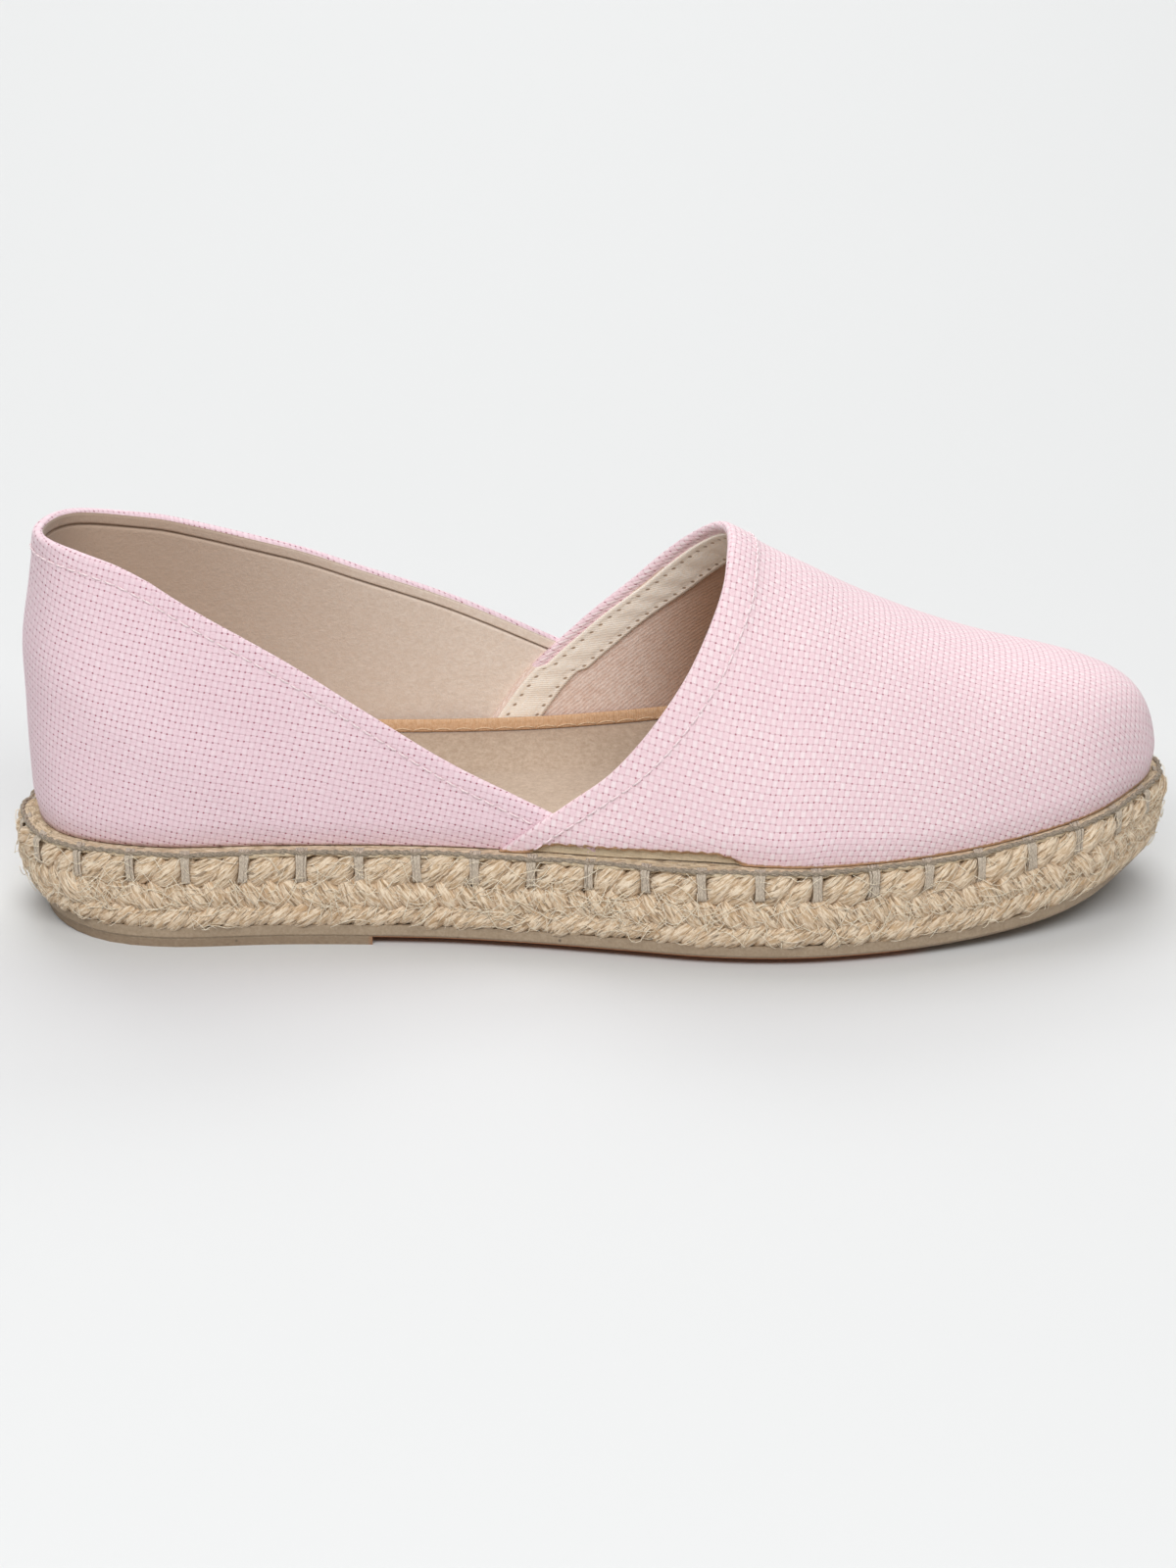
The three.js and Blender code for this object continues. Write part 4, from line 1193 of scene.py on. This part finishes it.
def makeFuzz():
    # Loose fibres lie over the plaits; a few stand off.
    count = fuzz["count"]
    t = np.linspace(-0.5, 0.5, fuzz["steps"])[None]
    length = random.uniform(*fuzz["length"], count)[:, None]
    direction = random.normal(0.3, 0.75, count)[:, None]
    bend = random.normal(0, 1.1, count)[:, None]
    along = random.uniform(0, around, count)[:, None] + t * length * np.cos(direction)
    inMiddle = random.random(count) < 0.45
    share = np.where(inMiddle, random.uniform(0.25, 0.62, count), random.uniform(0.0, 1.0, count))
    climb = t * length * np.sin(direction + bend * t) / (shoe["juteTop"] - shoe["juteBottom"])
    share = np.clip(share[:, None] + climb, -0.02, 1.03)
    inset = random.uniform(-0.85, 0.2, count)[:, None] + 1.8 * np.abs(t) ** 2
    points, out = loopPoints(along, inset, share)
    stray = random.choice(count, fuzz["stray"], replace=False)
    reach = (t + 0.5) ** 1.5 * random.uniform(*fuzz["reach"], (fuzz["stray"], 1))
    points[stray] += out[stray] * reach[..., None]
    radii = random.uniform(*fuzz["radius"], (count, 1))
    makeTubes("juteFuzz", "midsole", strawHair, points, radii, out, sides=3)


welt = {
    "rim": 0.9,
    "wave": 0.45,
    "stations": 900,
    "pull": 0.13,
    # Round its section: inset from the sole's outline, and height from the strip's top
    "section": [(7.5, -0.5), (7.5, 0.0), (3.2, 0.05), (1.6, 0.15), (0.7, 0.1), (0.2, -0.15), (0.0, -0.55),
                (0.25, -0.95), (0.9, -1.05), (2.4, -0.8)],
}


def makeWelt():
    # A flat strip of raw cotton; its rim is pulled down and in at every stitch.
    length = np.linspace(0, around, welt["stations"], endpoint=False)
    turn = turnAtLength(length)
    pull = bump(fromStitch(length), welt["pull"])
    wave = welt["wave"] * np.sin(length * 0.21) * np.sin(length * 0.047 + 1)
    rag = 0.16 * np.sin(length * 1.7) + 0.12 * np.sin(length * 3.9 + 2)
    rings = []
    flat = []
    for k, (inset, up) in enumerate(welt["section"]):
        rimShare = 1 - min(1, inset / 3)
        away = welt["rim"] + inset + rimShare * (0.5 * pull + 0.5 * wave + rag)
        x, y, _, _ = soleEdge(turn, away)
        z = shoe["weltTop"] + toeSpring(x) + up + rimShare * (0.35 * wave - 0.75 * pull + 0.3 * rag)
        rings.append(stacked(x, y, z))
        flat.append(stacked(length, 1.2 * k))
    makeBand("weltStrip", rings, flat, "strandMap", weltCotton, "welt")


# A frayed two-ply cord lies along the welt's rim and is pulled down by every stitch.
weltCord = {"inset": 1.15, "radius": 0.36, "twist": 2.2, "stations": 1500, "pull": 0.12, "lay": 0.24}


def makeWeltCord():
    length = np.linspace(0, around, weltCord["stations"], endpoint=False)
    pull = bump(fromStitch(length), weltCord["pull"])
    plies = []
    for start in (0, math.pi):
        turn = length / weltCord["twist"] * fullTurn / 2 + start
        away = weltCord["inset"] + 0.35 * pull + 0.28 * np.sin(length * 0.19)
        points, _ = loopPoints(length, away + weltCord["lay"] * np.cos(turn), 1)
        rise = 0.12 - 0.55 * pull + weltCord["lay"] * np.sin(turn)
        points[:, 2] = shoe["weltTop"] + toeSpring(points[:, 0]) + rise
        plies.append(np.concatenate([points, points[:1]]))
    paths = np.array(plies)
    facing = np.zeros_like(paths)
    facing[..., 2] = 1
    step = np.arange(paths.shape[1])
    radii = weltCord["radius"] * (1 + 0.25 * np.sin(step * 0.9) * np.sin(step * 0.23))
    makeTubes("weltCord", "welt", cordYarn, paths, radii, facing, sides=6, replaced=["welt"])


# Rubber: the frame's own outsole keeps its shape and gets its finish.
def dressOutsole():
    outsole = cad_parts["outsole"]
    outsole.data.materials.clear()
    outsole.data.materials.append(rubber)


print("upper")
makeInnerTape(*makeVamp())
makeQuarter()
print("footbed")
makeFootbed()
makeBinding()
print("sole")
makeJuteCore()
for name, row in juteRows.items():
    makeJuteRow(name, row)
makeSoleYarns()
makeFuzz()
makeWelt()
makeWeltCord()
dressOutsole()

# Studio: a pale floor in a white room, and soft lights from the front, from overhead and on the backdrop.
studio = {"floor": "#d9dada", "floorSize": 10.0, "room": "#ffffff", "roomStrength": 0.18}
lights = {
    "overhead": {"place": (-0.05, 0.5, 1.22), "size": (0.9, 0.6), "watts": 6.5, "target": (0, 0, 0.03)},
    "front": {"place": (-0.12, -1.0, 1.08), "size": (1.7, 0.6), "watts": 19, "target": (0, 0, 0.03)},
    "backdrop": {"place": (0.0, 1.7, 1.3), "size": (2.0, 1.0), "watts": 23, "target": (0, 1.3, 0)},
}


def softLight(name, place, size, watts, target):
    lamp = bpy.data.lights.new(name, "AREA")
    lamp.shape = "RECTANGLE"
    lamp.size, lamp.size_y = size
    lamp.energy = watts
    light = bpy.data.objects.new(name, lamp)
    light.location = place
    light.rotation_euler = (Vector(target) - Vector(place)).to_track_quat("-Z", "Y").to_euler()
    bpy.context.scene.collection.objects.link(light)


def makeStudio():
    material, _ = startMaterial("paleBackdropPaper", 0.95, specular=0.1)
    shader = material.node_tree.nodes["Principled BSDF"]
    shader.inputs["Base Color"].default_value = colour(studio["floor"])
    bpy.ops.object.select_all(action="DESELECT")
    bpy.ops.mesh.primitive_plane_add(size=studio["floorSize"], location=(0, 0, 0))
    floor = bpy.context.active_object
    floor.name = "floor"
    floor.data.materials.append(material)
    world = bpy.data.worlds.new("studioRoom")
    world.use_nodes = True
    room = world.node_tree.nodes["Background"]
    room.inputs["Color"].default_value = colour(studio["room"])
    room.inputs["Strength"].default_value = studio["roomStrength"]
    bpy.context.scene.world = world
    for name, values in lights.items():
        softLight(name, **values)


# Camera: fitted to the photograph, level, from the shoe's outer side.
view = {
    "elevation": 20.8,
    "turn": -2.05,
    "distance": 1.0,
    "target": (-1.16, 0.0, 25.2),  # millimetres, X from the sole's middle, Y from its long axis
    "focalPixels": 4654,
    "frameHeight": 1600,
}


def makeCamera():
    raised = math.radians(view["elevation"])
    turned = math.radians(view["turn"])
    right = Vector((math.cos(turned), math.sin(turned), 0))
    level = Vector((math.sin(turned), -math.cos(turned), 0))
    back = level * math.cos(raised) + Vector((0, 0, math.sin(raised)))
    up = back.cross(right)
    x, y, z = view["target"]
    target = Vector((x, y - middleY, z)) * mm
    data = bpy.data.cameras.new("camera")
    data.sensor_fit = "VERTICAL"
    data.sensor_height = 36
    data.lens = 36 * view["focalPixels"] / view["frameHeight"]
    camera = bpy.data.objects.new("camera", data)
    turn = Matrix((right, up, back)).transposed().to_4x4()
    camera.matrix_world = Matrix.Translation(target + back * view["distance"]) @ turn
    bpy.context.scene.collection.objects.link(camera)
    bpy.context.scene.camera = camera


print("studio")
makeStudio()
makeCamera()
bpy.context.scene.view_settings.view_transform = "Standard"
